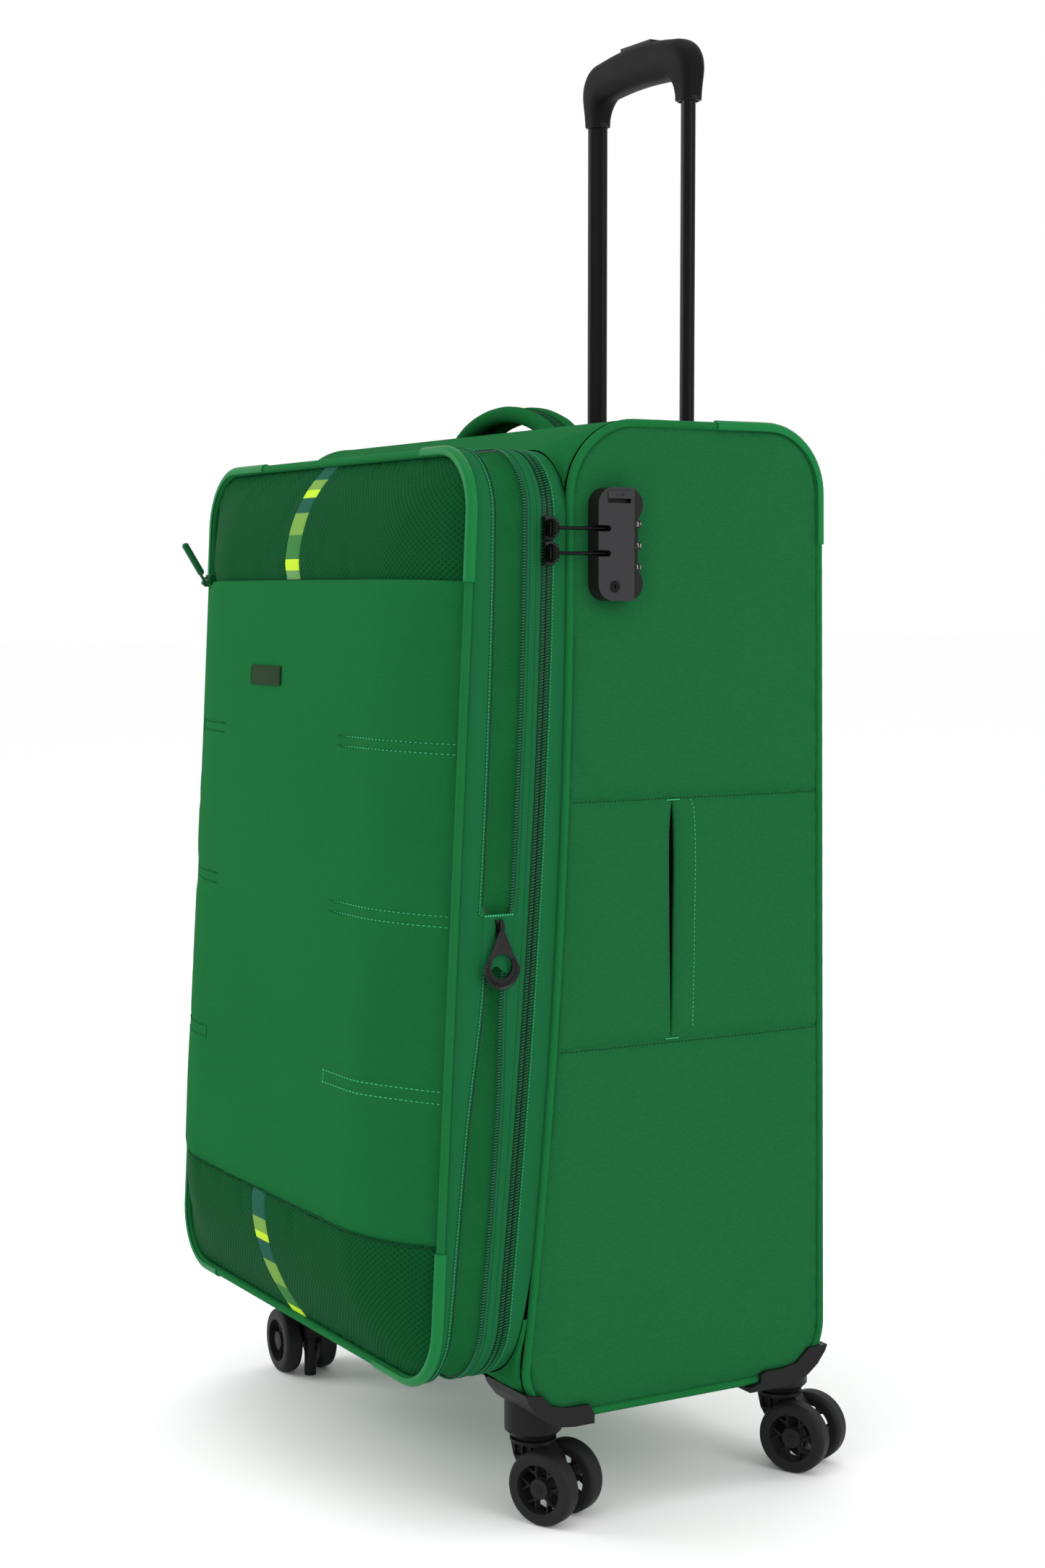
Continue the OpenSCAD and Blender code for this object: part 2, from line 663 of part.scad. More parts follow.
module lock_button() color("#3c3c40") difference() {
  block([lock_face_x - 3.9, -35.9, 733.2], [lock_face_x + 0.8, -17.1, 738.4]);
  block([lock_face_x + 0.2, -30, 735], [lock_face_x + 2, -23, 736.6]);
}
slider_y = zip_y(700);

// Slider body with two ears and a pin for its pull
module main_zip_sliders() color(black) for (z = pull_z) translate([0, slider_y, z]) {
  along_x(half_w - 1.6, half_w + 4)
    polygon([[-5, -8.4], [3.6, -8.4], [5.4, -2], [5.4, 2], [3.6, 8.4], [-5, 8.4], [-3.4, 0]]);
  for (s = [-1, 1]) block([half_w + 3.5, -3, s * 5.2 - 1.2], [pull_rod_x + 2, 3, s * 5.2 + 1.2]);
  translate([pull_rod_x, 0, 0]) cylinder(h = 9, r = 1, center = true);
}
module zip_pull(z) color(steel) translate([pull_rod_x, slider_y, z]) difference() {
  union() {
    cylinder(h = 7.4, r = 2.6, center = true);
    translate([0, 1, 0]) rotate([-90, 0, 0]) cylinder(h = lock_y[0] + 8 - slider_y, r = 1.3);
  }
  cylinder(h = 9, r = 1.06, center = true);
}
module zip_pull_upper() zip_pull(pull_z[0]);
module zip_pull_lower() zip_pull(pull_z[1]);

side_panel_right();
side_panel_left();
top_panel();
back_panel();
bottom_panel();
side_piping();
rear_corner_guards();
shell_liner();
main_zip_shell_half();
outer_tubes();
tube_cup();
tube_foot();
carry_handle();
packing_straps();
caster_housings();
lock_body();
lock_dial_top();
lock_dial_middle();
lock_dial_bottom();
lock_key_plug();
lock_button();
main_zip_sliders();
zip_pull_upper();
zip_pull_lower();
inner_tubes();
trolley_grip();
grip_button();
button_spring();
release_rods();
hinge_strip();
rear_band();
rear_expansion_zip();
expansion_puller();
expansion_gusset();
front_expansion_zip();
front_band();
lid_front_panel();
lid_end_panels();
lid_piping();
lid_corner_guards();
lid_liner();
front_trim();
pocket_zip();
pocket_puller();
fork_front_right();
fork_front_left();
fork_rear_right();
fork_rear_left();
axle_front_right();
axle_front_left();
axle_rear_right();
axle_rear_left();
wheel_front_right_outer();
wheel_front_right_inner();
wheel_front_left_outer();
wheel_front_left_inner();
wheel_rear_right_outer();
wheel_rear_right_inner();
wheel_rear_left_outer();
wheel_rear_left_inner();
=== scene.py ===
import math

import bmesh
import bpy
import numpy as np
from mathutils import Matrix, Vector


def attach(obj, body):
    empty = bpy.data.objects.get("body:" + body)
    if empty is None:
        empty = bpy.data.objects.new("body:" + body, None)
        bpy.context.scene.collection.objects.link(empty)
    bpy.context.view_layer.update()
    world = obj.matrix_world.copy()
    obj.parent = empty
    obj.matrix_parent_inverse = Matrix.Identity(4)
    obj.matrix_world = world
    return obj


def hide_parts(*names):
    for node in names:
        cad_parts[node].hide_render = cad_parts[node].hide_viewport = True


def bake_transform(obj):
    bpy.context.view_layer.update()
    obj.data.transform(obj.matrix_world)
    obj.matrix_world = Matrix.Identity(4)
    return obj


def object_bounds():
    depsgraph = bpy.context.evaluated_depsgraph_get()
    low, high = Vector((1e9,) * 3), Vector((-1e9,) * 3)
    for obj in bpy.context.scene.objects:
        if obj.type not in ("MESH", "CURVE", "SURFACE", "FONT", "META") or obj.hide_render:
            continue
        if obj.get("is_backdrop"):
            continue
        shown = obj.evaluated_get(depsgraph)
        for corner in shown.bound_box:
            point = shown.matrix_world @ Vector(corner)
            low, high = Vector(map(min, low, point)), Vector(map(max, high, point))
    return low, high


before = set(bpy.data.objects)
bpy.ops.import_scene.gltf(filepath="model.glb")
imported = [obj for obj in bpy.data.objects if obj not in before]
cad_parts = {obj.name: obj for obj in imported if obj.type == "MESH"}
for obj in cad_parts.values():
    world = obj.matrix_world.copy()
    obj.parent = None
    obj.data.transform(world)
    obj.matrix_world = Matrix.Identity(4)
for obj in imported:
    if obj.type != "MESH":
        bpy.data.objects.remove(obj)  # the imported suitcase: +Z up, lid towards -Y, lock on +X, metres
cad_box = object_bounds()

MM = 0.001

# ---------------------------------------------------------------- camera, floor and light

CAMERA_AT = (1.74435, -0.97548, 0.66745)
CAMERA_AZIMUTH = 59.9
CAMERA_DOWN = 4.306

scene = bpy.context.scene
camera = bpy.data.objects.new("camera", bpy.data.cameras.new("camera"))
scene.collection.objects.link(camera)
az, dn = math.radians(CAMERA_AZIMUTH), math.radians(CAMERA_DOWN)
look = Vector((-math.sin(az) * math.cos(dn), math.cos(az) * math.cos(dn), -math.sin(dn)))
camera.location = CAMERA_AT
camera.rotation_mode = "QUATERNION"
camera.rotation_quaternion = look.to_track_quat("-Z", "Y")
camera.data.sensor_width = 36
camera.data.lens = 58.2
camera.data.clip_start, camera.data.clip_end = 0.05, 100
scene.camera = camera
scene.view_settings.view_transform = "Standard"

world = bpy.data.worlds.new("studio")
scene.world = world
world.use_nodes = True
world.node_tree.nodes["Background"].inputs["Color"].default_value = (1, 1, 1, 1)
world.node_tree.nodes["Background"].inputs["Strength"].default_value = 1.0


def softbox(name, at, target, size, power):
    """A square area light that looks at a target."""
    light = bpy.data.lights.new(name, "AREA")
    light.shape, light.size, light.energy = "SQUARE", size, power
    o = bpy.data.objects.new(name, light)
    scene.collection.objects.link(o)
    o.location = at
    o.rotation_mode = "QUATERNION"
    o.rotation_quaternion = (Vector(target) - Vector(at)).to_track_quat("-Z", "Y")


softbox("key", (-1.9, -2.3, 1.7), (0, 0, 0.5), 1.6, 44)
softbox("top", (0.3, -0.2, 3.2), (0, 0, 0.6), 2.0, 17)
softbox("side", (3.0, 0.9, 1.7), (0.1, 0, 0.45), 1.6, 26)
softbox("back", (-1.5, 3.0, 2.0), (0, 0, 0.5), 2.0, 10)

# ---------------------------------------------------------------- materials


class Nodes:
    """A short way to write a node tree."""

    def __init__(self, name):
        self.mat = bpy.data.materials.new(name)
        self.mat.use_nodes = True
        self.tree = self.mat.node_tree
        self.shader = self.tree.nodes["Principled BSDF"]

    def new(self, kind, links=(), **values):
        node = self.tree.nodes.new("ShaderNode" + kind)
        for key, value in values.items():
            if hasattr(node, key):
                setattr(node, key, value)
            else:
                node.inputs[key.replace("_", " ")].default_value = value
        for key, source in dict(links).items():
            self.tree.links.new(source, node.inputs[key])
        return node

    def place(self, scale):
        """Object coordinates in metres, scaled."""
        at = self.new("TexCoord").outputs["Object"]
        mapping = self.new("Mapping", {"Vector": at})
        mapping.inputs["Scale"].default_value = scale
        return mapping.outputs["Vector"]

    def math(self, how, a, b=None, clamp=False):
        node = self.new("Math", operation=how, use_clamp=clamp)
        for i, x in enumerate((a, b)):
            if x is None:
                continue
            if isinstance(x, (int, float)):
                node.inputs[i].default_value = x
            else:
                self.tree.links.new(x, node.inputs[i])
        return node.outputs[0]

    def blend(self, *parts):
        """The sum of (value, share) pairs."""
        scaled = [self.math("MULTIPLY", value, share) for value, share in parts]
        total = scaled[0]
        for part in scaled[1:]:
            total = self.math("ADD", total, part)
        return total

    def mix(self, factor, a, b):
        node = self.new("Mix", data_type="RGBA")
        for i, x in ((0, factor), (6, a), (7, b)):
            if isinstance(x, (int, float, tuple)):
                node.inputs[i].default_value = x if isinstance(x, (int, float)) else (*x, 1)
            else:
                self.tree.links.new(x, node.inputs[i])
        return node.outputs[2]

    def noise(self, scale, detail, at=None):
        at = at or self.new("TexCoord").outputs["Object"]
        return self.new("TexNoise", {"Vector": at}, Scale=scale, Detail=detail).outputs["Fac"]

    def bands(self, period, direction):
        """Ridges a given number of metres apart along one axis, or along the diagonal."""
        at = self.new("TexCoord").outputs["Object"]
        per = 0.628 if direction == "DIAGONAL" else 0.314
        wave = self.new("TexWave", {"Vector": at}, bands_direction=direction, Scale=per / period)
        return wave.outputs["Fac"]

    def ends(self, color, rough, height=None, distance=0.0002, strength=0.6, **sockets):
        if isinstance(color, tuple):
            self.shader.inputs["Base Color"].default_value = (*color, 1)
        else:
            self.tree.links.new(color, self.shader.inputs["Base Color"])
        if isinstance(rough, (int, float)):
            self.shader.inputs["Roughness"].default_value = rough
        else:
            self.tree.links.new(rough, self.shader.inputs["Roughness"])
        if height is not None:
            bump = self.new("Bump", {"Height": height}, Distance=distance, Strength=strength)
            self.tree.links.new(bump.outputs[0], self.shader.inputs["Normal"])
        for key, value in sockets.items():
            self.shader.inputs[key.replace("_", " ")].default_value = value
        return self.mat


def shade(color, k):
    """A colour made lighter or darker."""
    return tuple(min(1.0, c * k) for c in color)


def twill(name, color, period=0.0016, contrast=0.27, rough=0.85):
    """Woven polyester: a fine diagonal twill with slubs and a slow drift of shade."""
    n = Nodes(name)
    diagonal = n.bands(period, "DIAGONAL")
    weft = n.bands(period * 0.75, "Z")
    grain = n.noise(1400, 1)
    slub = n.noise(300, 3, n.place((1, 1, 3)))
    drift = n.noise(6, 4)
    weave = n.blend((n.blend((diagonal, 0.65), (weft, 0.35)), 0.7), (grain, 0.3))
    tone = n.blend((weave, 0.55), (slub, 0.45))
    fine = n.mix(tone, shade(color, 1 - contrast), shade(color, 1 + contrast))
    whole = n.mix(n.math("MULTIPLY", drift, 0.32), fine, shade(color, 0.62))
    return n.ends(whole, rough, weave, 0.0003, 0.7, Specular_IOR_Level=0.01)


def lattice(n, wide, high):
    """0 on the lines of a diamond lattice in X and Z, about 1 in the middle of each cell."""
    split = n.new("SeparateXYZ", {"Vector": n.new("TexCoord").outputs["Object"]})
    u = n.math("MULTIPLY", split.outputs[0], math.pi / wide)
    v = n.math("MULTIPLY", split.outputs[2], math.pi / high)
    one = n.math("ABSOLUTE", n.math("SINE", n.math("ADD", u, v)))
    two = n.math("ABSOLUTE", n.math("SINE", n.math("SUBTRACT", u, v)))
    return n.math("MINIMUM", one, two)


def ribbed(name, color):
    """Dark honeycomb polyester: a lattice of shinier yarns round sunk diamond cells, with painted highlight
    on the yarns and painted shade in the cells.
    """
    n = Nodes(name)
    cell = n.math("POWER", lattice(n, 0.0046, 0.0042), 0.55)
    yarn = n.math("SUBTRACT", 1.0, cell)
    grain = n.noise(1500, 1)
    drift = n.noise(8, 3)
    tone = n.blend((yarn, 0.8), (grain, 0.2))
    # painted highlight and shade: the raised yarns are coloured lighter and the sunk cells darker
    fine = n.mix(tone, shade(color, 0.66), shade(color, 1.8))
    whole = n.mix(n.math("MULTIPLY", drift, 0.18), fine, shade(color, 0.7))
    rough = n.math("SUBTRACT", 0.8, n.math("MULTIPLY", yarn, 0.3))
    return n.ends(whole, rough, yarn, 0.0005, 0.8, Specular_IOR_Level=0.015)


def tape(name, color):
    """Zip tape: a herringbone with fine cross ribs."""
    n = Nodes(name)
    ribs = n.bands(0.0011, "Z")
    cross = n.bands(0.0013, "DIAGONAL")
    height = n.blend((ribs, 0.5), (cross, 0.5))
    grain = n.noise(1300, 1)
    tone = n.blend((height, 0.6), (grain, 0.4))
    whole = n.mix(tone, shade(color, 0.82), shade(color, 1.16))
    return n.ends(whole, 0.8, height, 0.0002, 0.5, Specular_IOR_Level=0.04)


def plastic(name, color, rough, grain=1200, depth=0.00006, wear=0.12, shine=0.16):
    """Moulded plastic: a fine spark grain, faint cloudiness and duller patches."""
    n = Nodes(name)
    spark = n.noise(grain, 2)
    cloud = n.noise(22, 4)
    whole = n.mix(n.math("MULTIPLY", cloud, wear * 2), color, shade(color, 1 + 2.2 * wear))
    roughness = n.math("ADD", n.math("MULTIPLY", cloud, 0.16), rough - 0.08, clamp=True)
    return n.ends(whole, roughness, spark, depth, 0.5, Specular_IOR_Level=shine)


def metal(name, color, rough):
    """Drawn or plated metal: fine lines along Z."""
    n = Nodes(name)
    lines = n.noise(900, 2, n.place((1, 1, 0.03)))
    cloud = n.noise(30, 3)
    whole = n.mix(cloud, shade(color, 0.85), shade(color, 1.15))
    roughness = n.math("ADD", n.math("MULTIPLY", lines, 0.18), rough - 0.09, clamp=True)
    return n.ends(whole, roughness, lines, 0.00004, 0.35, Metallic=1.0)


def lining_cloth(name, color):
    """Thin lining cloth: a small woven check with soft creases, also painted into its colour as painted shade
    in their hollows and painted highlight on their ridges.
    """
    n = Nodes(name)
    warp, weft, up = n.bands(0.0012, "X"), n.bands(0.0012, "Z"), n.bands(0.0012, "Y")
    weave = n.blend((warp, 0.3), (weft, 0.4), (up, 0.3))
    crease = n.noise(16, 4)
    # painted shade and highlight: the crease noise that bumps the cloth also darkens its hollows and lightens
    # its ridges
    whole = n.mix(n.blend((weave, 0.5), (crease, 0.5)), shade(color, 0.75), shade(color, 1.3))
    height = n.blend((weave, 0.1), (crease, 0.9))
    return n.ends(whole, 0.7, height, 0.003, 0.4, Sheen_Weight=0.2)


GREEN = (0.0090, 0.112, 0.0300)
DARK = (0.0032, 0.0555, 0.0152)
TEAL = (0.0082, 0.106, 0.0345)

M = {
    "green": twill("woven_green", shade(GREEN, 1.05)),
    # painted shade: the same green cloth toned slightly darker and greyer for the side panels and the back
    "side": twill("woven_green_side_painted_shade", (0.0118, 0.113, 0.0345), 0.0021, 0.4),
    # painted shade: the green cloth made darker for the expansion gusset, sunk between the two coils
    "fold": twill("woven_green_fold_painted_shade", shade(GREEN, 0.92), 0.0018, 0.35),
    # painted shade: the green cloth made darker for the carry handle's rolls, which face away from the light
    "handle": twill("woven_green_handle_painted_shade", shade(GREEN, 0.9), 0.0016, 0.3),
    "cord": twill("twill_cord", shade(GREEN, 1.2), 0.0013, 0.25, 0.6),
    "dark": ribbed("ribbed_dark", DARK),
    "inset": ribbed("ribbed_inset", shade(DARK, 0.8)),
    "tape": tape("zip_tape", TEAL),
    "coil": plastic("nylon_coil", (0.011, 0.105, 0.041), 0.4, 900, 0.00004, 0.2, 0.06),
    "coil_light": plastic("nylon_coil_light", (0.017, 0.128, 0.058), 0.4, 900, 0.00004, 0.2, 0.06),
    # painted shade: near-black strips under the zips' teeth stand for the shade between the teeth; the same
    # colour is also the dark pocket zips' own teeth
    "dark_coil_and_gap_shade": plastic("nylon_coil_dark_and_gap_shade", (0.006, 0.03, 0.014), 0.3, 900, 0.00004, 0.2),
    "gloss": plastic("gloss_piping", (0.0085, 0.152, 0.0395), 0.34, 700, 0.00004, 0.1, 0.05),
    "thread": tape("thread_light", (0.05, 0.38, 0.17)),
    "thread_dark": tape("thread_dark", (0.006, 0.05, 0.018)),
    "black": plastic("black_plastic", (0.0095, 0.0095, 0.0100), 0.42, shine=0.12),
    "rubber": plastic("black_rubber", (0.0050, 0.0050, 0.0048), 0.55, 1600, 0.00009, 0.2, 0.06),
    "tyre": plastic("wheel_tread", (0.010, 0.010, 0.0105), 0.6, 1500, 0.0001, 0.25),
    "gloss_black": plastic("gloss_black", (0.0045, 0.0045, 0.005), 0.25, 500, 0.00002, 0.15, 0.22),
    "grey": plastic("lock_grey", (0.029, 0.028, 0.030), 0.4, 1200, 0.00006, 0.12, 0.1),
    "gun": metal("gunmetal", (0.012, 0.0115, 0.012), 0.4),
    "steel": metal("steel", (0.42, 0.42, 0.44), 0.3),
    "alu": metal("raw_aluminium", (0.55, 0.55, 0.57), 0.35),
    "tube": plastic("tube_black", (0.0036, 0.0036, 0.0035), 0.3, 1500, 0.00003, 0.15, 0.09),
    "white": plastic("print_white", (0.5, 0.5, 0.49), 0.5),
    "lining": lining_cloth("lining_grey", (0.055, 0.06, 0.06)),
    "webbing": ribbed("webbing", (0.012, 0.05, 0.024)),
    "badge": plastic("badge_green", (0.0095, 0.028, 0.0085), 0.5, 600, 0.00003, 0.15, 0.03),
    "pull": plastic("pull_green", (0.0075, 0.085, 0.027), 0.45, 900, 0.00005, 0.15, 0.06),
    "tape_dark": tape("zip_tape_dark", (0.006, 0.04, 0.018)),
    "r_lime": tape("ribbon_lime", (0.44, 0.64, 0.035)),
    "r_olive": tape("ribbon_olive", (0.155, 0.30, 0.058)),
    "r_teal": tape("ribbon_teal", (0.013, 0.085, 0.055)),
    "r_mid": tape("ribbon_mid", (0.04, 0.17, 0.043)),
    "r_grey": tape("ribbon_grey", (0.12, 0.27, 0.095)),
}


def floor_material():
    n = Nodes("pale_floor")
    cloud = n.noise(3, 3)
    return n.ends(n.mix(cloud, (0.985, 0.985, 0.985), (0.998, 0.998, 0.998)), 0.9)


bpy.ops.mesh.primitive_plane_add(size=60)
floor = bpy.context.object
floor.name = "floor"
floor.data.materials.append(floor_material())
floor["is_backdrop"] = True

# ---------------------------------------------------------------- mesh tools, in millimetres


class Part:
    """Collects points and faces in millimetres, then makes one object."""

    def __init__(self):
        self.points, self.faces, self.slots, self.count = [], [], [], 0

    def add(self, points, faces, slot=0):
        points = np.asarray(points, float).reshape(-1, 3)
        self.points.append(points)
        self.faces += [[i + self.count for i in f] for f in faces]
        self.slots += [slot] * len(faces)
        self.count += len(points)
        return self

    def grid(self, p, wrap_a=False, wrap_b=False, caps=False, keep=None, slot=0, flip=False):
        """A surface through a (a, b, 3) array of points."""
        a, b = p.shape[:2]
        faces = []
        for i in range(a if wrap_a else a - 1):
            for j in range(b if wrap_b else b - 1):
                if keep is not None and not keep[i, j]:
                    continue
                k, m = (i + 1) % a, (j + 1) % b
                f = [i * b + j, k * b + j, k * b + m, i * b + m]
                faces.append(f[::-1] if flip else f)
        if caps:
            first, last = list(range(b)), list(range((a - 1) * b, a * b))
            faces += [first[::-1], last] if flip else [first, last[::-1]]
        return self.add(p, faces, slot)

    def copies(self, base, faces, at, *axes, slot=0):
        """Small copies of a shape: at (n, 3), and for each of its axes (n, 3) or one direction."""
        p = at[:, None, :] + sum(base[None, :, k, None] * np.broadcast_to(x, at.shape)[:, None, :]
                                 for k, x in enumerate(axes))
        n = len(base)
        all_faces = [[i + n * k for i in f] for k in range(len(at)) for f in faces]
        return self.add(p, all_faces, slot)

    def rod(self, path, r, n=10, out=(1, 0, 0), caps=True, slot=0):
        """A round rod along a line of points."""
        return self.grid(tube_points(path, r, n, out), wrap_b=True, caps=caps, slot=slot)

    def make(self, name, body, mats, slot=None, stands_for=(), sharp=40, merge=0.0):
        """The object: it rides on a body and stands for CAD nodes. The slot argument is not used."""
        mesh = bpy.data.meshes.new(name)
        points = np.concatenate(self.points) * MM
        used = np.unique(np.concatenate([np.array(f) for f in self.faces]))
        if len(used) < len(points):
            new = np.zeros(len(points), int)
            new[used] = np.arange(len(used))
            points = points[used]
            self.faces = [[int(new[i]) for i in f] for f in self.faces]
        mesh.from_pydata(points.tolist(), [], self.faces)
        for m in [mats] if isinstance(mats, str) else mats:
            mesh.materials.append(M[m])
        mesh.polygons.foreach_set("material_index", self.slots)
        mesh.update()
        if merge:
            b = bmesh.new()
            b.from_mesh(mesh)
            bmesh.ops.remove_doubles(b, verts=b.verts, dist=merge * MM)
            b.to_mesh(mesh)
            b.free()
        mesh.polygons.foreach_set("use_smooth", [True] * len(mesh.polygons))
        mesh.set_sharp_from_angle(angle=math.radians(sharp))
        o = bpy.data.objects.new(name, mesh)
        scene.collection.objects.link(o)
        if body:
            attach(o, body)
        if stands_for:
            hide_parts(*stands_for)
        return o


def xyz(x, y, z):
    """Points from their three coordinates, each an array or one number."""
    return np.stack(np.broadcast_arrays(x, y, z), -1).astype(float)


def unit(v):
    return v / np.maximum(np.linalg.norm(v, axis=-1, keepdims=True), 1e-9)


def normals(p):
    """Unit normals of a grid of points."""
    return unit(np.cross(np.gradient(p, axis=0), np.gradient(p, axis=1)))


def arc2(cx, cy, r, a0, a1, n):
    """An arc of n steps round a centre, between two angles in degrees."""
    a = np.radians(np.linspace(a0, a1, n + 1))
    return np.stack([cx + r * np.cos(a), cy + r * np.sin(a)], 1)


def rounded_box(x, z0, z1, r, n):
    """A rounded rectangle, anticlockwise from low right: its corners' centres, radius and steps."""
    return np.vstack([arc2(x, z0, r, -90, 0, n), arc2(x, z1, r, 0, 90, n),
                      arc2(-x, z1, r, 90, 180, n), arc2(-x, z0, r, 180, 270, n)])


def right_of(t):
    """2-D directions turned a quarter clockwise: outward from an anticlockwise line."""
    return np.stack([t[:, 1], -t[:, 0]], 1)


def respaced(line, step, closed=False):
    """A polyline again with even steps."""
    p = np.vstack([line, line[:1]]) if closed else np.asarray(line, float)
    along = np.concatenate([[0], np.cumsum(np.linalg.norm(np.diff(p, axis=0), axis=1))])
    n = max(2, int(round(along[-1] / step)))
    at = np.linspace(0, along[-1], n + 1)
    out = np.stack([np.interp(at, along, p[:, k]) for k in range(p.shape[1])], 1)
    return out[:-1] if closed else out


def tangents(line, closed=False):
    if closed:
        return unit(np.roll(line, -1, 0) - np.roll(line, 1, 0))
    return unit(np.gradient(line, axis=0))


def sweep(line, out, section, closed=False):
    """A grid: the section's (a, b) go along out and along tangent x out at each point.
    out is one direction or one for each point."""
    t = tangents(line, closed)
    out = unit(out - (out * t).sum(1, keepdims=True) * t)
    side = np.cross(t, out)
    return (line[:, None] + section[None, :, 0, None] * out[:, None]
            + section[None, :, 1, None] * side[:, None])


def full_turn(n):
    """n even angles round a full turn."""
    return np.linspace(0, 2 * math.pi, n, endpoint=False)


def circle(r, n):
    """A circle's n points."""
    a = full_turn(n)
    return np.stack([r * np.cos(a), r * np.sin(a)], 1)


def tube_points(path, r, n, out=(1, 0, 0)):
    """A round tube's grid along a line of points."""
    return sweep(np.asarray(path, float), np.asarray(out, float), circle(r, n))


def length_of(line):
    return np.linalg.norm(np.diff(line, axis=0), axis=1).sum()


PILL = np.array([[-0.5, 0, 0]] + [[x, math.cos(a) / 2, math.sin(a) / 2] for x in (-0.3, 0.3)
                                  for a in np.arange(6) * math.pi / 3] + [[0.5, 0, 0]])
PILL_FACES = ([[0, 1 + (k + 1) % 6, 1 + k] for k in range(6)]
              + [[1 + k, 1 + (k + 1) % 6, 7 + (k + 1) % 6, 7 + k] for k in range(6)]
              + [[13, 7 + k, 7 + (k + 1) % 6] for k in range(6)])


def stitch(part, line, normal, pitch, length, width, lift, slot):
    """A row of thread stitches along a line of points on a surface."""
    line = respaced(np.asarray(line, float), pitch)
    normal = np.asarray(normal, float)
    if normal.ndim > 1:
        k = np.linspace(0, len(normal) - 1, len(line))
        normal = unit(xyz(*(np.interp(k, np.arange(len(normal)), c) for c in normal.T)))
    t = tangents(line)
    side = np.cross(t, normal)
    part.copies(PILL, PILL_FACES, line + normal * lift, t * length, side * width,
                normal * width * 0.8, slot=slot)


def inside_path(outline, inset):
    """A closed 2-D outline moved inwards (outline runs anticlockwise)."""
    return outline - inset * right_of(tangents(outline, True))


def rounded_block(part, outline, depth0, depth1, r, place):
    """A 2-D outline run from depth0 to depth1 with rounded rims. place(a, b, depth) gives points."""
    layers = []
    for side, base in ((-1, depth0 + r), (1, depth1 - r)):
        a = np.linspace(0, math.pi / 2, 5)
        for x in (a[::-1] if side < 0 else a):
            o = inside_path(outline, r * (1 - math.cos(x)))
            layers.append(place(*o.T, base + side * r * math.sin(x)))
    part.grid(np.array(layers), wrap_b=True, caps=True)


# ---------------------------------------------------------------- the case's own lines (from part.scad)

HALF_W, BASE_Z, TOP_Z = 228.0, 78.0, 790.0
# the side's rounded corners: their radii and centres, (Y, Z)
R_LOW, R_BACK, R_FRONT = 40.0, 50.0, 56.0
LOW_Y, LOW_Z = 128.0, 118.0
BACK_Y, BACK_Z = 110.0, 740.0
FRONT_Y, FRONT_Z = -4.0, 734.0
BACK_LOW, BACK_UP = LOW_Y + R_LOW, BACK_Y + R_BACK  # Y of the back's two ends
LID_X, LID_LOW, LID_TOP, LID_R = 226.0, 108.0, 769.0, 48.0
LID_LEAN, PIPE_Y, PIPE_Z = math.radians(2.86), -146.7, 440.0
PIPE_X, PIPE_R = 221.5, 3.3
LZ0 = (LID_LOW + PIPE_R - PIPE_Z) / math.cos(LID_LEAN)
LZ1 = (LID_TOP - PIPE_R - PIPE_Z) / math.cos(LID_LEAN)
SEAM_HI, SEAM_LO = 676 - PIPE_Z, 214 - PIPE_Z
PANEL_X = HALF_W - 6.2


def zip_y(z):
    """Y of the main zip's line at a height."""
    return -75 - 36 * (np.maximum(0, BACK_Z - np.asarray(z, float)) / 590) ** 1.7


def front_y(z):
    """Y of the shell's front edge at a height, from low to high corner."""
    down = np.maximum(0, FRONT_Z - np.asarray(z, float)) / (FRONT_Z - LOW_Z)
    return FRONT_Y - R_FRONT - 35.5 * down ** 2.1


def back_y(z):
    """Y of the shell's back at a height."""
    return BACK_LOW - (BACK_LOW - BACK_UP) * (z - LOW_Z) / (BACK_Z - LOW_Z)


LOW_ARC_Y = float(front_y(LOW_Z)) + R_LOW


def side_line(d, n):
    """The shell seen from the side, (Y, Z) anticlockwise from the low front corner, inset d."""
    z = np.arange(LOW_Z, FRONT_Z, 12.0)[::-1][:-1]
    return np.vstack([
        arc2(LOW_ARC_Y, LOW_Z, R_LOW - d, 180, 270, n), arc2(LOW_Y, LOW_Z, R_LOW - d, 270, 360, n),
        arc2(BACK_Y, BACK_Z, R_BACK - d, 0, 90, n), arc2(FRONT_Y, FRONT_Z, R_FRONT - d, 90, 180, n),
        np.stack([front_y(z) + d, z], 1)])


def lid_line(step=7.0):
    """The lid seen from the front, (X, Z) anticlockwise, with outward normals."""
    line = rounded_box(LID_X - LID_R, LID_LOW + LID_R, LID_TOP - LID_R, LID_R, 40)
    line = respaced(line, step, True)
    return line, right_of(tangents(line, True))


def on_lid(p):
    """Points of the lid's own leaning frame in the row frame."""
    x, y, z = np.moveaxis(np.asarray(p, float), -1, 0)
    c, s = math.cos(LID_LEAN), math.sin(LID_LEAN)
    return xyz(x, PIPE_Y + y * c + z * s, PIPE_Z - y * s + z * c)


def crease(x, x0, deep, narrow=1.6, wide=12.0):
    """How deep a sewn seam at x0 pulls the cloth in at x."""
    d = x - x0
    return deep * np.exp(-(d / narrow) ** 2) + 0.35 * deep * np.exp(-(d / wide) ** 2)


def slow_noise(a, b, scale, seed):
    """A smooth wavy field from a few fixed sines, about -1 to 1."""
    r = np.random.default_rng(seed)
    out = 0
    for _ in range(7):
        fa, fb, ph = r.normal(0, 1 / scale), r.normal(0, 1 / scale), r.uniform(0, 6.28)
        out = out + np.sin(a * fa * 6.28 + b * fb * 6.28 + ph)
    return out / 3.5


def edge_held(shape):
    """Pin weights for a cloth grid: 1 along its four edges."""
    held = np.zeros(shape)
    held[0], held[-1], held[:, 0], held[:, -1] = 1, 1, 1, 1
    return held


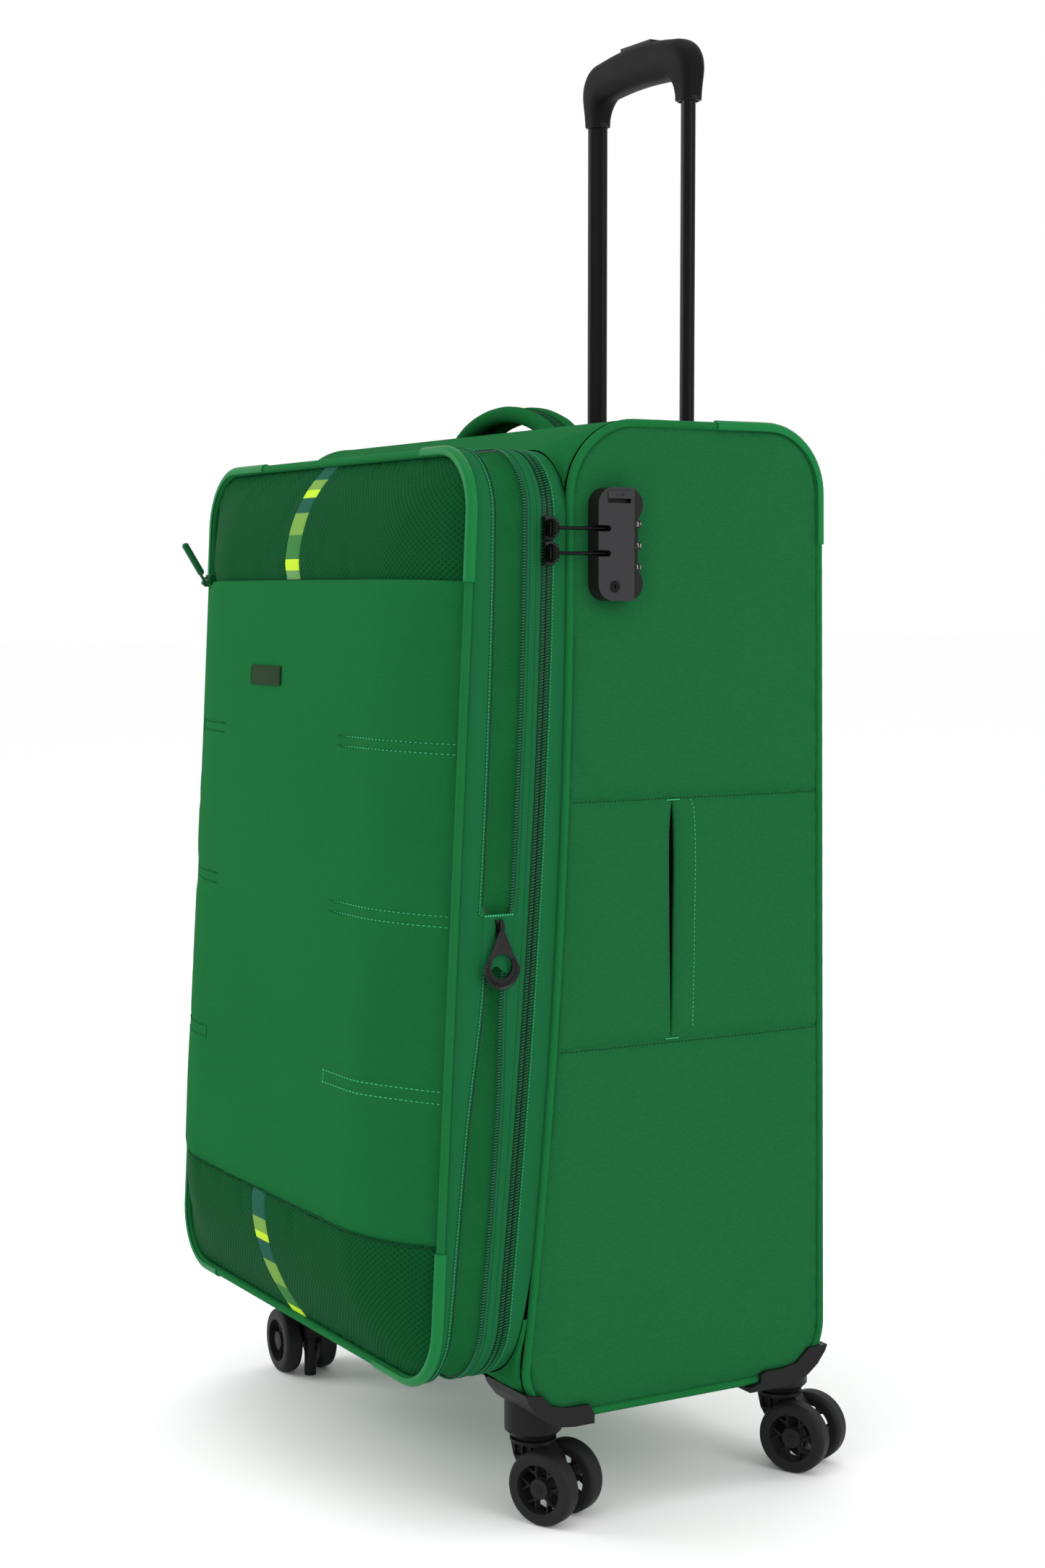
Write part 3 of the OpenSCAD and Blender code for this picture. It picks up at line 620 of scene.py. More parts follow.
def puffed(p, held, push, frames, cap):
    """Cloth simulation of a padded panel: held points stay, and the rest is pushed along
    push, no more than cap."""
    part = Part().grid(p)
    o = part.make("cloth_work", None, "green")
    group = o.vertex_groups.new(name="held")
    for i, w in enumerate(held.ravel()):
        if w > 0:
            group.add([i], float(w), "REPLACE")
    cloth = o.modifiers.new("cloth", "CLOTH")
    st = cloth.settings
    st.quality, st.mass = 6, 0.25
    st.vertex_group_mass = "held"
    st.shrink_min = -0.012  # a little slack
    st.tension_stiffness = st.compression_stiffness = 12
    st.bending_stiffness = 0.8
    st.tension_damping = st.compression_damping = 8
    st.air_damping = 4
    cloth.collision_settings.use_collision = False
    cloth.point_cache.frame_start, cloth.point_cache.frame_end = 1, frames
    old = tuple(scene.gravity)
    scene.gravity = push
    for f in range(1, frames + 1):
        scene.frame_set(f)
    e = o.evaluated_get(bpy.context.evaluated_depsgraph_get())
    q = np.zeros(len(e.data.vertices) * 3)
    e.data.vertices.foreach_get("co", q)
    scene.gravity = old
    scene.frame_set(1)
    mesh = o.data
    bpy.data.objects.remove(o)
    bpy.data.meshes.remove(mesh)
    move = q.reshape(p.shape) / MM - p
    far = np.linalg.norm(move, axis=-1, keepdims=True)
    return p + move * np.minimum(1, cap / np.maximum(far, 1e-6)) * (1 - held[..., None] * 0.999)


# ---------------------------------------------------------------- shell: side panels

SLOT_LOW, SLOT_TOP, SLOT_Y = 347.0, 519.0, 28.0
SEAMS = (522.0, 345.0)


def side_span(z, d):
    """Front and rear Y of the side panel at each height, inset d."""
    z = np.asarray(z, float)
    low = np.sqrt(np.maximum(0, (R_LOW - d) ** 2 - np.maximum(0, LOW_Z - z) ** 2))
    up = np.sqrt(np.maximum(0, (R_FRONT - d) ** 2 - np.maximum(0, z - FRONT_Z) ** 2))
    back = np.sqrt(np.maximum(0, (R_BACK - d) ** 2 - np.maximum(0, z - BACK_Z) ** 2))
    front = np.where(z < LOW_Z, LOW_ARC_Y - low, np.where(z > FRONT_Z, FRONT_Y - up, front_y(z) + d))
    rear = np.where(z < LOW_Z, LOW_Y + low, np.where(z > BACK_Z, BACK_Y + back, back_y(z) - d))
    return front, rear


def panel_rows(d):
    """Heights of the side panel's rows: dense at the corners and seams, none too close together."""
    a = np.linspace(0, math.pi / 2, 9)
    rows = [LOW_Z - (R_LOW - d) * np.cos(a), np.linspace(LOW_Z, FRONT_Z, 76),
            FRONT_Z + (R_FRONT - d) * np.sin(a)]
    rows += [s + np.array([-3.2, -1.6, -0.8, 0, 0.8, 1.6, 3.2]) for s in SEAMS]
    z = np.unique(np.round(np.concatenate(rows), 3))
    keep = [z[0]]
    for x in z[1:-1]:
        if x - keep[-1] >= 0.75:
            keep.append(x)
    return np.array([*keep[:-1], z[-1]] if z[-1] - keep[-1] < 0.7 else [*keep, z[-1]])


def ease(n):
    """n steps from 0 to 1, closer together at both ends."""
    s = np.linspace(0, 1, n)
    return 0.6 * s + 0.4 * (0.5 - 0.5 * np.cos(math.pi * s))


def side_panel(name, node, sign, slit):
    """A padded side, with or without the slit of the side grip's pocket."""
    inset = 5.6
    z = panel_rows(inset)
    front, rear = side_span(z, inset)
    up = np.clip((z - SLOT_LOW) / (SLOT_TOP - SLOT_LOW), 0, 1)
    open_by = np.where((z > SLOT_LOW) & (z < SLOT_TOP), up ** 0.8 * (1 - up ** 9), 0) if slit else 0 * z
    left, right = SLOT_Y - 0.8 - 3.0 * open_by, SLOT_Y + 0.8 + 3.0 * open_by
    na, nb = 15, 20
    y = np.hstack([front[:, None] + (left - front)[:, None] * ease(na),
                   right[:, None] + (rear - right)[:, None] * ease(nb)])
    zz = np.repeat(z[:, None], na + nb, 1)
    edge = np.minimum.reduce([y - front[:, None], rear[:, None] - y, zz - z[0], z[-1] - zz])
    bulge = 2.0 * (1 - np.exp(-edge / 7)) - 1.6 + 0.35 * slow_noise(y, zz, 170, 3)
    for s in SEAMS:
        bulge -= crease(zz, s, 0.9)
    p = xyz(sign * (HALF_W + bulge), y, zz)
    held = edge_held(zz.shape)
    for s in SEAMS:
        held[np.abs(zz - s) < 1] = 1
    in_slot = (z > SLOT_LOW) & (z < SLOT_TOP)
    if slit:
        held[in_slot, na - 1] = held[in_slot, na] = 0.85
    if sign > 0:  # behind the lock
        held[(zz > 655) & (zz < 748) & (y > -52) & (y < 3)] = 1
    p = puffed(p, held, (sign * 9.8, 0, 0), 12, 3.0)
    keep = np.ones((len(z) - 1, na + nb - 1), bool)
    if slit:
        keep[in_slot[:-1] & in_slot[1:], na - 1] = False
    part = Part().grid(p, keep=keep, flip=sign > 0)
    # the hem that goes in under the piping
    rim = np.concatenate([p[0], p[1:, -1], p[-1, ::-1][1:], p[::-1, 0][1:-1]])
    mid = np.array([0, 45, 430.0])
    out = unit((rim - mid) * [0, 1, 1])
    hem = np.stack([rim, rim + out * 1.0 - [sign * 1.6, 0, 0], rim + out * 1.2 - [sign * 4.5, 0, 0]], 1)
    part.grid(hem, wrap_a=True, flip=sign > 0)
    if slit:
        rows = np.where(in_slot)[0]
        for col, way in ((na - 1, -1), (na, 1)):
            e = p[rows, col]
            fold = np.stack([e, e + [-0.8, -0.7 * way, 0], e + [-2.6, -0.6 * way, 0],
                             e + [-4.2, 2.5 * way, 0]], 1)
            part.grid(fold, flip=way < 0)
    for s in SEAMS:
        below = int(np.argmin(np.abs(z - s + 1.6)))
        stitch(part, p[below, 1:-1], (sign, 0, 0), 3.1, 2.0, 0.7, 0.3, slot=1)
    if slit:
        col = na + int(np.argmin(np.abs(y[len(z) // 2, na:] - 45)))
        rows = np.where((z > SLOT_LOW + 4) & (z < SLOT_TOP + 1))[0]
        stitch(part, p[rows, col], (1, 0, 0), 3.2, 2.1, 0.7, 0.15, slot=2)
        for end_z in (SLOT_TOP + 0.5, SLOT_LOW - 0.5):
            line = xyz(HALF_W + 0.8, SLOT_Y + np.array([-5, 5]), end_z)
            stitch(part, line, (1, 0, 0), 1.1, 1.6, 0.9, 0.2, slot=2)
    o = part.make(name, "shell", ["side", "thread_dark", "thread"], "fabric_green", (node,), 50, 0.02)


side_panel("panel_right", "side_panel_right", 1, True)
side_panel("panel_left", "side_panel_left", -1, False)

# ---------------------------------------------------------------- shell: top, back and bottom

CUP_X, CUP_Y, CUP_Z = 92.2, 126.8, 742.8


def wrap_part():
    """The cloth that goes over the top, down the back and under the case, as one strip."""
    a0 = math.degrees(math.acos((CUP_Y - BACK_Y) / R_BACK))
    a1 = math.degrees(math.asin((CUP_Z - BACK_Z) / R_BACK))
    top = xyz(np.linspace(FRONT_Y, BACK_Y, 14), TOP_Z, 0)[:, :2]
    curve = np.vstack([arc2(BACK_Y, BACK_Z, R_BACK, *q)[1:] for q in ((90, a0, 3), (a0, a1, 10), (a1, 0, 1))])
    back = np.linspace([BACK_UP, BACK_Z], [BACK_LOW, LOW_Z], 60)[1:]
    low = arc2(LOW_Y, LOW_Z, R_LOW, 0, -90, 9)[1:]
    under = np.linspace([LOW_Y, BASE_Z], [LOW_ARC_Y, BASE_Z], 20)[1:]
    line = np.vstack([top, curve, back, low, under])
    out = -right_of(tangents(line))
    x = np.unique(np.concatenate([np.linspace(-PANEL_X, -CUP_X, 14), np.linspace(-CUP_X, CUP_X, 19),
                                  np.linspace(CUP_X, PANEL_X, 14)]))
    edge = PANEL_X - np.abs(x)
    grow = (1.6 * (1 - np.exp(-edge / 8)) - 1.2)[None, :]
    along = np.concatenate([[0], np.cumsum(np.linalg.norm(np.diff(line, axis=0), axis=1))])
    wave = 0.5 * slow_noise(along[:, None], x[None], 190, 5)
    fade = np.minimum(1, along / 40)[:, None]
    grow = grow * fade + wave * fade * (1 - np.exp(-edge / 20))[None]
    grow = grow - crease(line[:, 1], LOW_Z, 1.1)[:, None] * (line[:, 0] > 100)[:, None]
    for s in (-112, 112):
        down = ((line[:, 0] > 150) & (line[:, 1] > 120) & (line[:, 1] < 741))[:, None]
        grow = grow - down * crease(x, s, 0.9)[None]
    p = xyz(x[None], line[:, :1] + out[:, :1] * grow, line[:, 1:] + out[:, 1:] * grow)
    cut = ((np.abs(0.5 * (x[1:] + x[:-1])) < CUP_X)[None]
           & (0.5 * (line[1:, 0] + line[:-1, 0]) > CUP_Y)[:, None]
           & (0.5 * (line[1:, 1] + line[:-1, 1]) > CUP_Z)[:, None])
    return line, x, p, ~cut


wrap_line, wrap_x, wrap_p, wrap_keep = wrap_part()
ring, ring_out = lid_line()


def tape_rear(x, z):
    """Rear edge of the main zip's tape, up to the piping on the sides and the cloth elsewhere."""
    base = zip_y(z) + 15.2
    side = front_y(z) + 2.0
    k = np.clip((z - 130) / 90, 0, 1) * np.clip((760 - z) / 40, 0, 1)
    k = k * k * (3 - 2 * k) * (np.abs(x) > 200)
    return base + (np.maximum(side, base) - base) * k


def fan(part, top):
    """The cloth between the shell's square section and the lid's rounded outline."""
    n = 12
    if top:
        zc, sgn, y_back, z_back = LID_TOP - LID_R, 1, FRONT_Y, TOP_Z
        side = np.vstack([arc2(FRONT_Y, FRONT_Z, R_FRONT, 90, 180, 19), [[float(front_y(zc)), zc]]])
    else:
        zc, sgn, y_back, z_back = LID_LOW + LID_R, -1, LOW_ARC_Y, BASE_Z
        z = np.linspace(LOW_Z, zc, 8)[1:]
        side = np.vstack([arc2(LOW_ARC_Y, LOW_Z, R_LOW, 270, 180, 19), np.stack([front_y(z), z], 1)])
    side = respaced(side, 1.0)
    side = side[np.linspace(0, len(side) - 1, n + 1).round().astype(int)]
    side = np.column_stack([np.full(n + 1, PANEL_X + 0.6), side])
    psi = np.linspace(0, math.pi / 2, n + 1)
    cx, cz = LID_X - LID_R, zc
    rim = xyz(cx + LID_R * np.sin(psi), 0, cz + sgn * LID_R * np.cos(psi))
    rim[:, 1] = tape_rear(rim[:, 0], rim[:, 2]) - 0.6
    back_mid = xyz(wrap_x, y_back, z_back)
    z_edge = zc + sgn * LID_R
    rim_mid = xyz(wrap_x / PANEL_X * cx, float(tape_rear(0, z_edge)) - 0.6, z_edge)
    left = side[::-1] * [-1, 1, 1], rim[::-1] * [-1, 1, 1]
    back = np.vstack([left[0][:-1], back_mid, side[1:]])
    front = np.vstack([left[1][:-1], rim_mid, rim[1:]])
    t = np.linspace(0, 1, 9)[:, None, None]
    p = back[None] * (1 - t) + front[None] * t
    out = normals(p)
    out = out * np.sign(out[4, len(wrap_x) // 2 + n, 2] * sgn)
    part.grid(p + out * 2.2 * np.sin(math.pi * t) ** 1.2, flip=not top)


# rows where the strip is cut into the top, back and bottom cloths
k_top = int(np.where(wrap_line[:, 1] > 740.5)[0][-1]) + 1
k_low = int(np.where(wrap_line[:, 1] > 118.5)[0][-1]) + 1

top_cloth = Part().grid(wrap_p[:k_top + 1], keep=wrap_keep[:k_top])
fan(top_cloth, True)
stitch(top_cloth, xyz(np.array([-CUP_X - 4, CUP_X + 4]), CUP_Y - 5, TOP_Z + 0.5), (0, 0, 1),
       3.2, 2.1, 0.7, 0.1, slot=1)
o = top_cloth.make("top_cloth", "shell", ["green", "thread"], "fabric_green", ("top_panel",), 50, 0.02)

back_cloth = Part().grid(wrap_p[k_top:k_low + 1], keep=wrap_keep[k_top:k_low])
z = np.linspace(732, 124, 60)
for x in (-115, -109, 109, 115):
    stitch(back_cloth, xyz(x, back_y(z) + 0.35, z), (0, 1, 0), 3.2, 2.1, 0.7, 0.1, slot=1)
o = back_cloth.make("back_cloth", "shell", ["side", "thread"], "fabric_green", ("back_panel",), 50, 0.02)

bottom_cloth = Part().grid(wrap_p[k_low:], keep=wrap_keep[k_low:])
fan(bottom_cloth, False)
o = bottom_cloth.make("bottom_cloth", "shell", ["green"], "fabric_green", ("bottom_panel",), 50, 0.02)

# ---------------------------------------------------------------- piping and corner guards

side_ring = respaced(side_line(3.2, 24), 5.0, True)
for sign, side_name in ((1, "right"), (-1, "left")):
    line = xyz(sign * 225.5, *side_ring.T)
    out = xyz(0, *right_of(tangents(side_ring, True)).T)
    # a cord with its sewn-in flange, and a fine wrinkle of the cloth that covers it
    wrinkle = 1 + 0.02 * np.sin(np.arange(len(line)) * 1.9) * np.sin(np.arange(len(line)) * 0.37)
    p = sweep(line, out, circle(3.2, 14), True)
    p = line[:, None] + (p - line[:, None]) * wrinkle[:, None, None]
    part = Part().grid(p, wrap_a=True, wrap_b=True)
    flange = np.array([[-1.5, -0.9], [-5.6, -0.9], [-5.6, 0.9], [-1.5, 0.9]])
    part.grid(sweep(line - [sign * 1.4, 0, 0], out, flange, True), wrap_a=True, wrap_b=True)
    part.make("side_piping_" + side_name, "shell", ["cord"], "fabric_green", ("side_piping",), 60)
    # the hard cover over the upper rear corner
    k = np.where((side_ring[:, 0] > 64.5) & (side_ring[:, 1] > 702))[0]
    guard = np.vstack([arc2(0, 0, 4.5, -120, 120, 12), arc2(0, 0, 3.3, 120, -120, 8)])
    Part().grid(sweep(line[k], out[k], guard), wrap_b=True, caps=True).make(
        "rear_corner_guard_" + side_name, "shell", ["gloss"], "gloss_green", ("rear_corner_guards",), 50)


def lid_loop():
    """The lid's piping line in the lid's own frame, with outward directions."""
    r = LID_R - PIPE_R
    line = respaced(rounded_box(PIPE_X - r, LZ0 + r, LZ1 - r, r, 30), 5.0, True)
    out = right_of(tangents(line, True))
    return xyz(line[:, 0], 0, line[:, 1]), xyz(out[:, 0], 0, out[:, 1])


loop, loop_out = lid_loop()
p = on_lid(sweep(loop, loop_out, circle(PIPE_R, 14), True))
flange = np.array([[-1.5, 2.2], [-9, 3.6], [-9, 5.2], [-1.5, 3.6]])
part = Part().grid(p, wrap_a=True, wrap_b=True)
part.grid(on_lid(sweep(loop, loop_out, flange, True)), wrap_a=True, wrap_b=True)
part.make("lid_cord", "lid", ["cord"], "fabric_green", ("lid_piping",), 60)

GUARDS = {  # where each corner's cover lies on the piping
    "upper_right": lambda x, z: (x > 144) & (z > 674), "upper_left": lambda x, z: (x < -119) & (z > 674),
    "lower_left": lambda x, z: (x < -151) & (z < 214), "lower_right": lambda x, z: (x > 129) & (z < 214)}
loop_row = on_lid(loop)
for name, inside in GUARDS.items():
    at = inside(loop_row[:, 0], loop_row[:, 2])
    start = int(np.where(at & ~np.roll(at, 1))[0][0])
    k = (start + np.arange(int(at.sum()))) % len(loop)
    guard = np.vstack([arc2(0, 0, 4.4, -115, 119, 13), arc2(0, 0, 3.35, 119, -115, 13)])
    Part().grid(on_lid(sweep(loop[k], loop_out[k], guard)), wrap_b=True, caps=True).make(
        "lid_guard_" + name, "lid", ["gloss"], "gloss_green", ("lid_corner_guards",), 50)

# ---------------------------------------------------------------- zips and bands round the lid

NEAR_TAB = 445.0
HINGE_LOW, HINGE_HIGH = 170, 700


def coil_line(base, pull):
    """Where an expansion coil runs, as an offset from the main zip's line: at base, and drawn on
    by pull under the tab on the right."""
    return lambda x, z: base + pull * np.exp(-((z - 400) / 75) ** 2) * ((z < NEAR_TAB) & (x > 200))


rear_coil, front_coil = coil_line(-17.1, -4.5), coil_line(-40.7, 6.0)


def pipe_edge(x, z):
    """Offset of the lid piping's rear side from the main zip's line."""
    return PIPE_Y + (z - PIPE_Z) * math.tan(LID_LEAN) + 2.4 - zip_y(z)


def band_middle(x, z):
    """Offset of the front band's middle."""
    return np.minimum(front_coil(x, z) - 4, 0.45 * front_coil(x, z) + 0.55 * pipe_edge(x, z))


def lid_points(line, out, offset, inset):
    """Points by a line round the lid: at an offset from the main zip's line, a number or a function
    of (x, z), and inset from the outline."""
    x, z = line.T
    y = zip_y(z) + (offset(x, z) if callable(offset) else offset)
    return xyz(x - out[:, 0] * inset, y, z - out[:, 1] * inset)


def band(part, section, slot, closed=True):
    """A band round the lid. section: (offset, inset) pairs round its cross section."""
    cols = [lid_points(ring, ring_out, *at) for at in section]
    part.grid(np.stack(cols, 1), wrap_a=True, wrap_b=closed, slot=slot)


def off(fn, d):
    """An offset function moved on by d."""
    return lambda x, z: fn(x, z) + d


def teeth(part, offset, length, pitch, inset, slot, width, shift=0.0, skip=None, height=1.3):
    """A row of zip teeth that lie across the line round the lid."""
    fine, out = lid_line(pitch)
    if skip is not None:
        k = ~skip(fine[:, 0], fine[:, 1])
        fine, out = fine[k], out[k]
    t = -right_of(out)
    at = lid_points(fine + t * shift, out, offset, inset)
    o3, t3 = xyz(out[:, 0], 0, out[:, 1]), xyz(t[:, 0], 0, t[:, 1])
    lean = np.array([0, 1, 0]) + t3 * 0.22
    part.copies(PILL, PILL_FACES, at, lean * length, t3 * width, o3 * height, slot=slot)


def round_lid(offset, inset):
    """A row of points round the lid and their outward normals, for stitches."""
    line, out = lid_line(3.0)
    return lid_points(line, out, offset, inset), xyz(out[:, 0], 0, out[:, 1])


def hinge_side(x, z):
    """Where the cloth hinge takes the zip's place."""
    return (x < -200) & (z > HINGE_LOW) & (z < HINGE_HIGH)


# the shell's half of the main zip, with its tape up to the piping
part = Part()
rear = lambda x, z: tape_rear(x, z) - zip_y(z)
band(part, [(rear, 3.0), (rear, 1.3), (off(rear, -1.2), 0.9), (8.0, 0.5), (4.4, 0.6), (4.2, 1.1)],
     0, closed=False)
# painted shade: a near-black strip under the teeth
band(part, [(4.3, 1.0), (4.1, 1.35), (0.3, 1.35), (0.3, 2.2), (8.0, 2.2)], 3, closed=False)
teeth(part, 2.1, 4.0, 2.1, 0.55, 1, 1.15, skip=hinge_side, height=1.5)
stitch(part, *round_lid(5.4, 0.5), 2.6, 1.8, 0.5, 0.1, slot=2)
part.make("main_zip_shell", "shell", ["tape", "coil", "thread", "dark_coil_and_gap_shade"], "zip_green",
          ("main_zip_shell_half",), 50)

# the lid's half of it, the rear band and the rear expansion coil
part = Part()
# painted shade: a near-black strip under the teeth
band(part, [(-0.3, 2.2), (-0.3, 1.35), (-4.1, 1.35), (-4.3, 1.0)], 2, closed=False)
band(part, [(-4.2, 1.1), (-4.6, 0.6), (-7.2, 0.3), (-8.2, 0.9), (-8.2, 2.2)], 0, closed=False)
teeth(part, -2.1, 4.0, 2.1, 0.55, 1, 1.15, shift=1.05, skip=hinge_side, height=1.5)
band(part, [(-8.4, 2.4), (-8.4, 0.7), (-9.6, 0.15), (off(rear_coil, 2.2), 0.25),
            (off(rear_coil, 1.2), 0.8), (off(rear_coil, 1.0), 2.4)], 0)
part.make("rear_band_cloth", "lid_rear", ["tape", "coil", "dark_coil_and_gap_shade", "thread_dark"], "fabric_green",
          ("rear_band",), 50)
part = Part()
# painted shade: a near-black strip under the teeth
band(part, [(off(rear_coil, 1.3), 2.2), (off(rear_coil, 1.3), 1.0), (off(rear_coil, -0.9), 1.6),
            (off(rear_coil, -0.9), 2.6)], 2)
teeth(part, off(rear_coil, -0.9), 3.4, 2.0, 0.6, 1, 1.15, height=1.5)
stitch(part, *round_lid(off(rear_coil, 3.4), 0.2), 2.0, 1.0, 0.8, 0.02, slot=3)
part.make("rear_expansion_coil", "lid_rear", ["tape", "coil_light", "dark_coil_and_gap_shade", "thread_dark"], "zip_green",
          ("rear_expansion_zip",), 50)

# the front expansion coil and the front band
part = Part()
# painted shade: a near-black strip under the teeth
band(part, [(off(front_coil, 0.9), 2.6), (off(front_coil, 0.9), 1.6), (off(front_coil, -1.3), 1.0),
            (off(front_coil, -1.3), 2.2)], 2)
teeth(part, off(front_coil, 0.2), 2.3, 1.5, 1.0, 1, 0.85, shift=0.7)
stitch(part, *round_lid(off(front_coil, -3.6), 0.45), 2.0, 1.0, 0.8, 0.02, slot=3)
part.make("front_expansion_coil", "lid", ["tape", "coil", "dark_coil_and_gap_shade", "thread_dark"], "zip_green",
          ("front_expansion_zip",), 50)
part = Part()
band(part, [(off(front_coil, -1.0), 2.6), (off(front_coil, -1.2), 0.8), (off(front_coil, -2.2), 0.4),
            (band_middle, 0.9), (off(pipe_edge, 1.2), 0.9), (pipe_edge, 2.2), (off(pipe_edge, 1.0), 3.2)], 0)
stitch(part, *round_lid(off(front_coil, -2.8), 0.45), 2.6, 1.8, 0.5, 0.1, slot=1)
part.make("front_band_cloth", "lid", ["tape", "thread"], "fabric_green", ("front_band",), 50)


def across_zip(x, z0, z1, ahead, width):
    """The two ends of a bend that lies square across the zip's line between two heights."""
    slope = float(zip_y(z1) - zip_y(z0)) / (z1 - z0)
    start = np.array([x, float(zip_y(z0)) + ahead, z0])
    return start, start + width / (1 + slope ** 2) * np.array([0, -1, slope])


# the cloth between the two expansion coils, in lengths
GUSSET_STEP = 4.0
g_line, g_out = lid_line(GUSSET_STEP)
gx, gz = g_line.T
run = np.arange(len(gx)) * GUSSET_STEP
lanes = np.linspace(0, 1, 11)
y0 = zip_y(gz) + rear_coil(gx, gz) - 0.6
y1 = zip_y(gz) + front_coil(gx, gz) + 0.6
fold = slow_noise(run[:, None] + 26 * lanes[None], 30 * lanes[None], 60, 11)
sunk = 1.9 + (4.6 + 1.3 * fold) * np.sin(math.pi * lanes)[None] ** 0.8
gusset = xyz(gx[:, None] - g_out[:, :1] * sunk, y0[:, None] + (y1 - y0)[:, None] * lanes[None],
             gz[:, None] - g_out[:, 1:] * sunk)
middle_z = 0.5 * (gz + np.roll(gz, -1))
CUTS = (100.0, 190.0, 320.0, 450.0, 600.0, 780.0)
for k, (z0, z1) in enumerate(zip(CUTS[:-1], CUTS[1:])):
    pick = (middle_z >= z0) & (middle_z < z1)
    part = Part().grid(gusset, wrap_a=True, keep=np.repeat(pick[:, None], len(lanes) - 1, 1), flip=True)
    o = part.make(f"expansion_gusset_{k + 1}", None, ["fold"], "fabric_green", ("expansion_gusset",), 60)
    start, end = across_zip(0, max(z0, LID_LOW), min(z1, LID_TOP), -18.7, 20.4)
    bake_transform(o)
    wide = np.linalg.norm(np.diff(gusset, axis=1), axis=-1).sum(1)[pick].mean()

# the closed end of that zip: a tab between the two tapes, under the slider
tab_z = np.array([404, 408, 414, 420, 428, 436, 442, 444.5, 445.6])
rows = []
for z in tab_z:
    k = np.clip((z - 404) / 16, 0, 1)
    a = zip_y(z) + rear_coil(LID_X, min(z, NEAR_TAB - 0.1)) + 4.4
    b = zip_y(z) + front_coil(LID_X, min(z, NEAR_TAB - 0.1)) - 4.4
    s = np.linspace(0, 1, 15)
    x = 226.15 + 0.35 * np.sin(math.pi * s) + (0.25 if z < 445 else -0.9)
    x = x - 0.8 * (np.abs(s - 0.5) > 0.49)
    rows.append(xyz(x, a + (b - a) * s, z + 5.5 * (1 - k) * np.exp(-((s - 0.5) / 0.2) ** 2)))
tab = np.array(rows)
part = Part().grid(tab)
stitch(part, tab[7, 1:-1] + [0, 0, 0.2], (1, 0, 0), 1.9, 1.9, 1.3, 0.3, slot=1)
o = part.make("expansion_tab", "lid_rear", ["tape", "thread"], "zip_green", ("rear_expansion_zip",), 50)


def box_points(lo, hi, r=0.4):
    """A block with chamfered edges, as points and faces."""
    lo, hi = np.array(lo, float), np.array(hi, float)
    c, h = (lo + hi) / 2, (hi - lo) / 2
    b = bmesh.new()
    bmesh.ops.create_cube(b, size=2)
    for v in b.verts:
        v.co = Vector(c) + Vector([v.co[i] * h[i] for i in range(3)])
    r = min(r, 0.45 * float(h.min()) * 2)
    bmesh.ops.bevel(b, geom=b.edges[:], offset=r, segments=2, profile=0.5, affect="EDGES")
    points = [tuple(v.co) for v in b.verts]
    faces = [[v.index for v in f.verts] for f in b.faces]
    b.free()
    return points, faces


def slider(part, x, y, z, s=1.0):
    """A zip slider seen from +X at scale s: a waisted plate and a raised bridge."""
    outline = np.array([[-4.6, -8.2], [3.4, -8.2], [5.0, -3.0], [5.2, 0], [5.0, 3.0], [3.4, 8.2],
                        [-4.6, 8.2], [-3.6, 3.0], [-3.3, 0], [-3.6, -3.0]]) * s
    rounded_block(part, respaced(outline, 0.9 * s, True), -1.4 * s, 2.6 * s, 0.8 * s,
                  lambda a, b, d: xyz(x + d, y + a, z + b))
    bridge = np.array([[2.2, 0, -6.4], [3.4, 0, -4.6], [3.9, 0, 0], [3.4, 0, 4.6], [2.2, 0, 6.4]]) * s
    part.rod(bridge + [x, y, z], 1.25 * s, out=(0, 1, 0))


# slider and teardrop puller of the expansion zip
EXP_Y, EXP_Z = -114.6, 437.0
part = Part()
slider(part, 226.9, EXP_Y, EXP_Z - 1, 0.72)
loop_path = np.array([[0, 0, 5.2], [1.7, 0, 5.0], [2.9, 0, 3.2], [3.2, 0, 0],
                      [2.9, 0, -3.0], [1.6, 0, -4.6], [0, 0, -4.8]])
part.rod(loop_path * [0.85, 1, 1] + [227.2, EXP_Y, EXP_Z - 1], 1.0, out=(0, 1, 0))
part.make("expansion_slider", "lid_rear", ["gloss_black"], "black_plastic", ("rear_expansion_zip",), 40)


RING_R, RING_DOWN = 12.0, 26.2


def teardrop(a):
    """Outline of the puller's ring, (Y, Z) from its pin, at angles from its lowest point."""
    y, z = RING_R * np.sin(a), -RING_DOWN - RING_R * np.cos(a)
    up = np.clip((z + RING_DOWN) / RING_R, 0, 1)
    z = z + up * (RING_DOWN - 1.6 - RING_R) * up
    y = y * (1 - 0.72 * up ** 1.2)
    return np.stack([y, z], 1)[::-1]


part = Part()
pin = np.array([230.0, EXP_Y, EXP_Z - 3])
a = full_turn(72)
outer_line = teardrop(a)
hole_line = np.stack([8.6 * np.sin(a), -24.6 - 8.6 * np.cos(a)], 1)[::-1]
layers = []
for line2, depth, grow in ((hole_line, -1.0, 0), (outer_line, -1.2, -0.9), (outer_line, -0.5, 0),
                           (outer_line, 0.6, 0), (outer_line, 1.4, -0.8), (outer_line, 1.5, -2.2),
                           (hole_line, 0.9, 0.0), (hole_line, 0.4, -0.4)):
    q = inside_path(line2, -grow)
    layers.append(pin + xyz(depth, *q.T))
part.grid(np.array(layers), wrap_a=True, wrap_b=True)
a = np.radians(np.arange(-125, 126, 10))  # the ribs round its rim
radial, across = xyz(0, np.sin(a), -np.cos(a)), xyz(0, np.cos(a), np.sin(a))
part.copies(PILL, PILL_FACES, pin + [1.3, 0, -RING_DOWN] + 11.2 * radial, radial * 3.0, across * 1.1,
            [1.2, 0, 0])
for y in (-2.6, 2.6):
    arm = np.array([[0, y * 1.1, -9], [0.2, y, -5], [0.2, y * 0.75, -1.4], [0, 0.1 * y, 0.4]])
    part.rod(arm + pin, 0.9, 8)
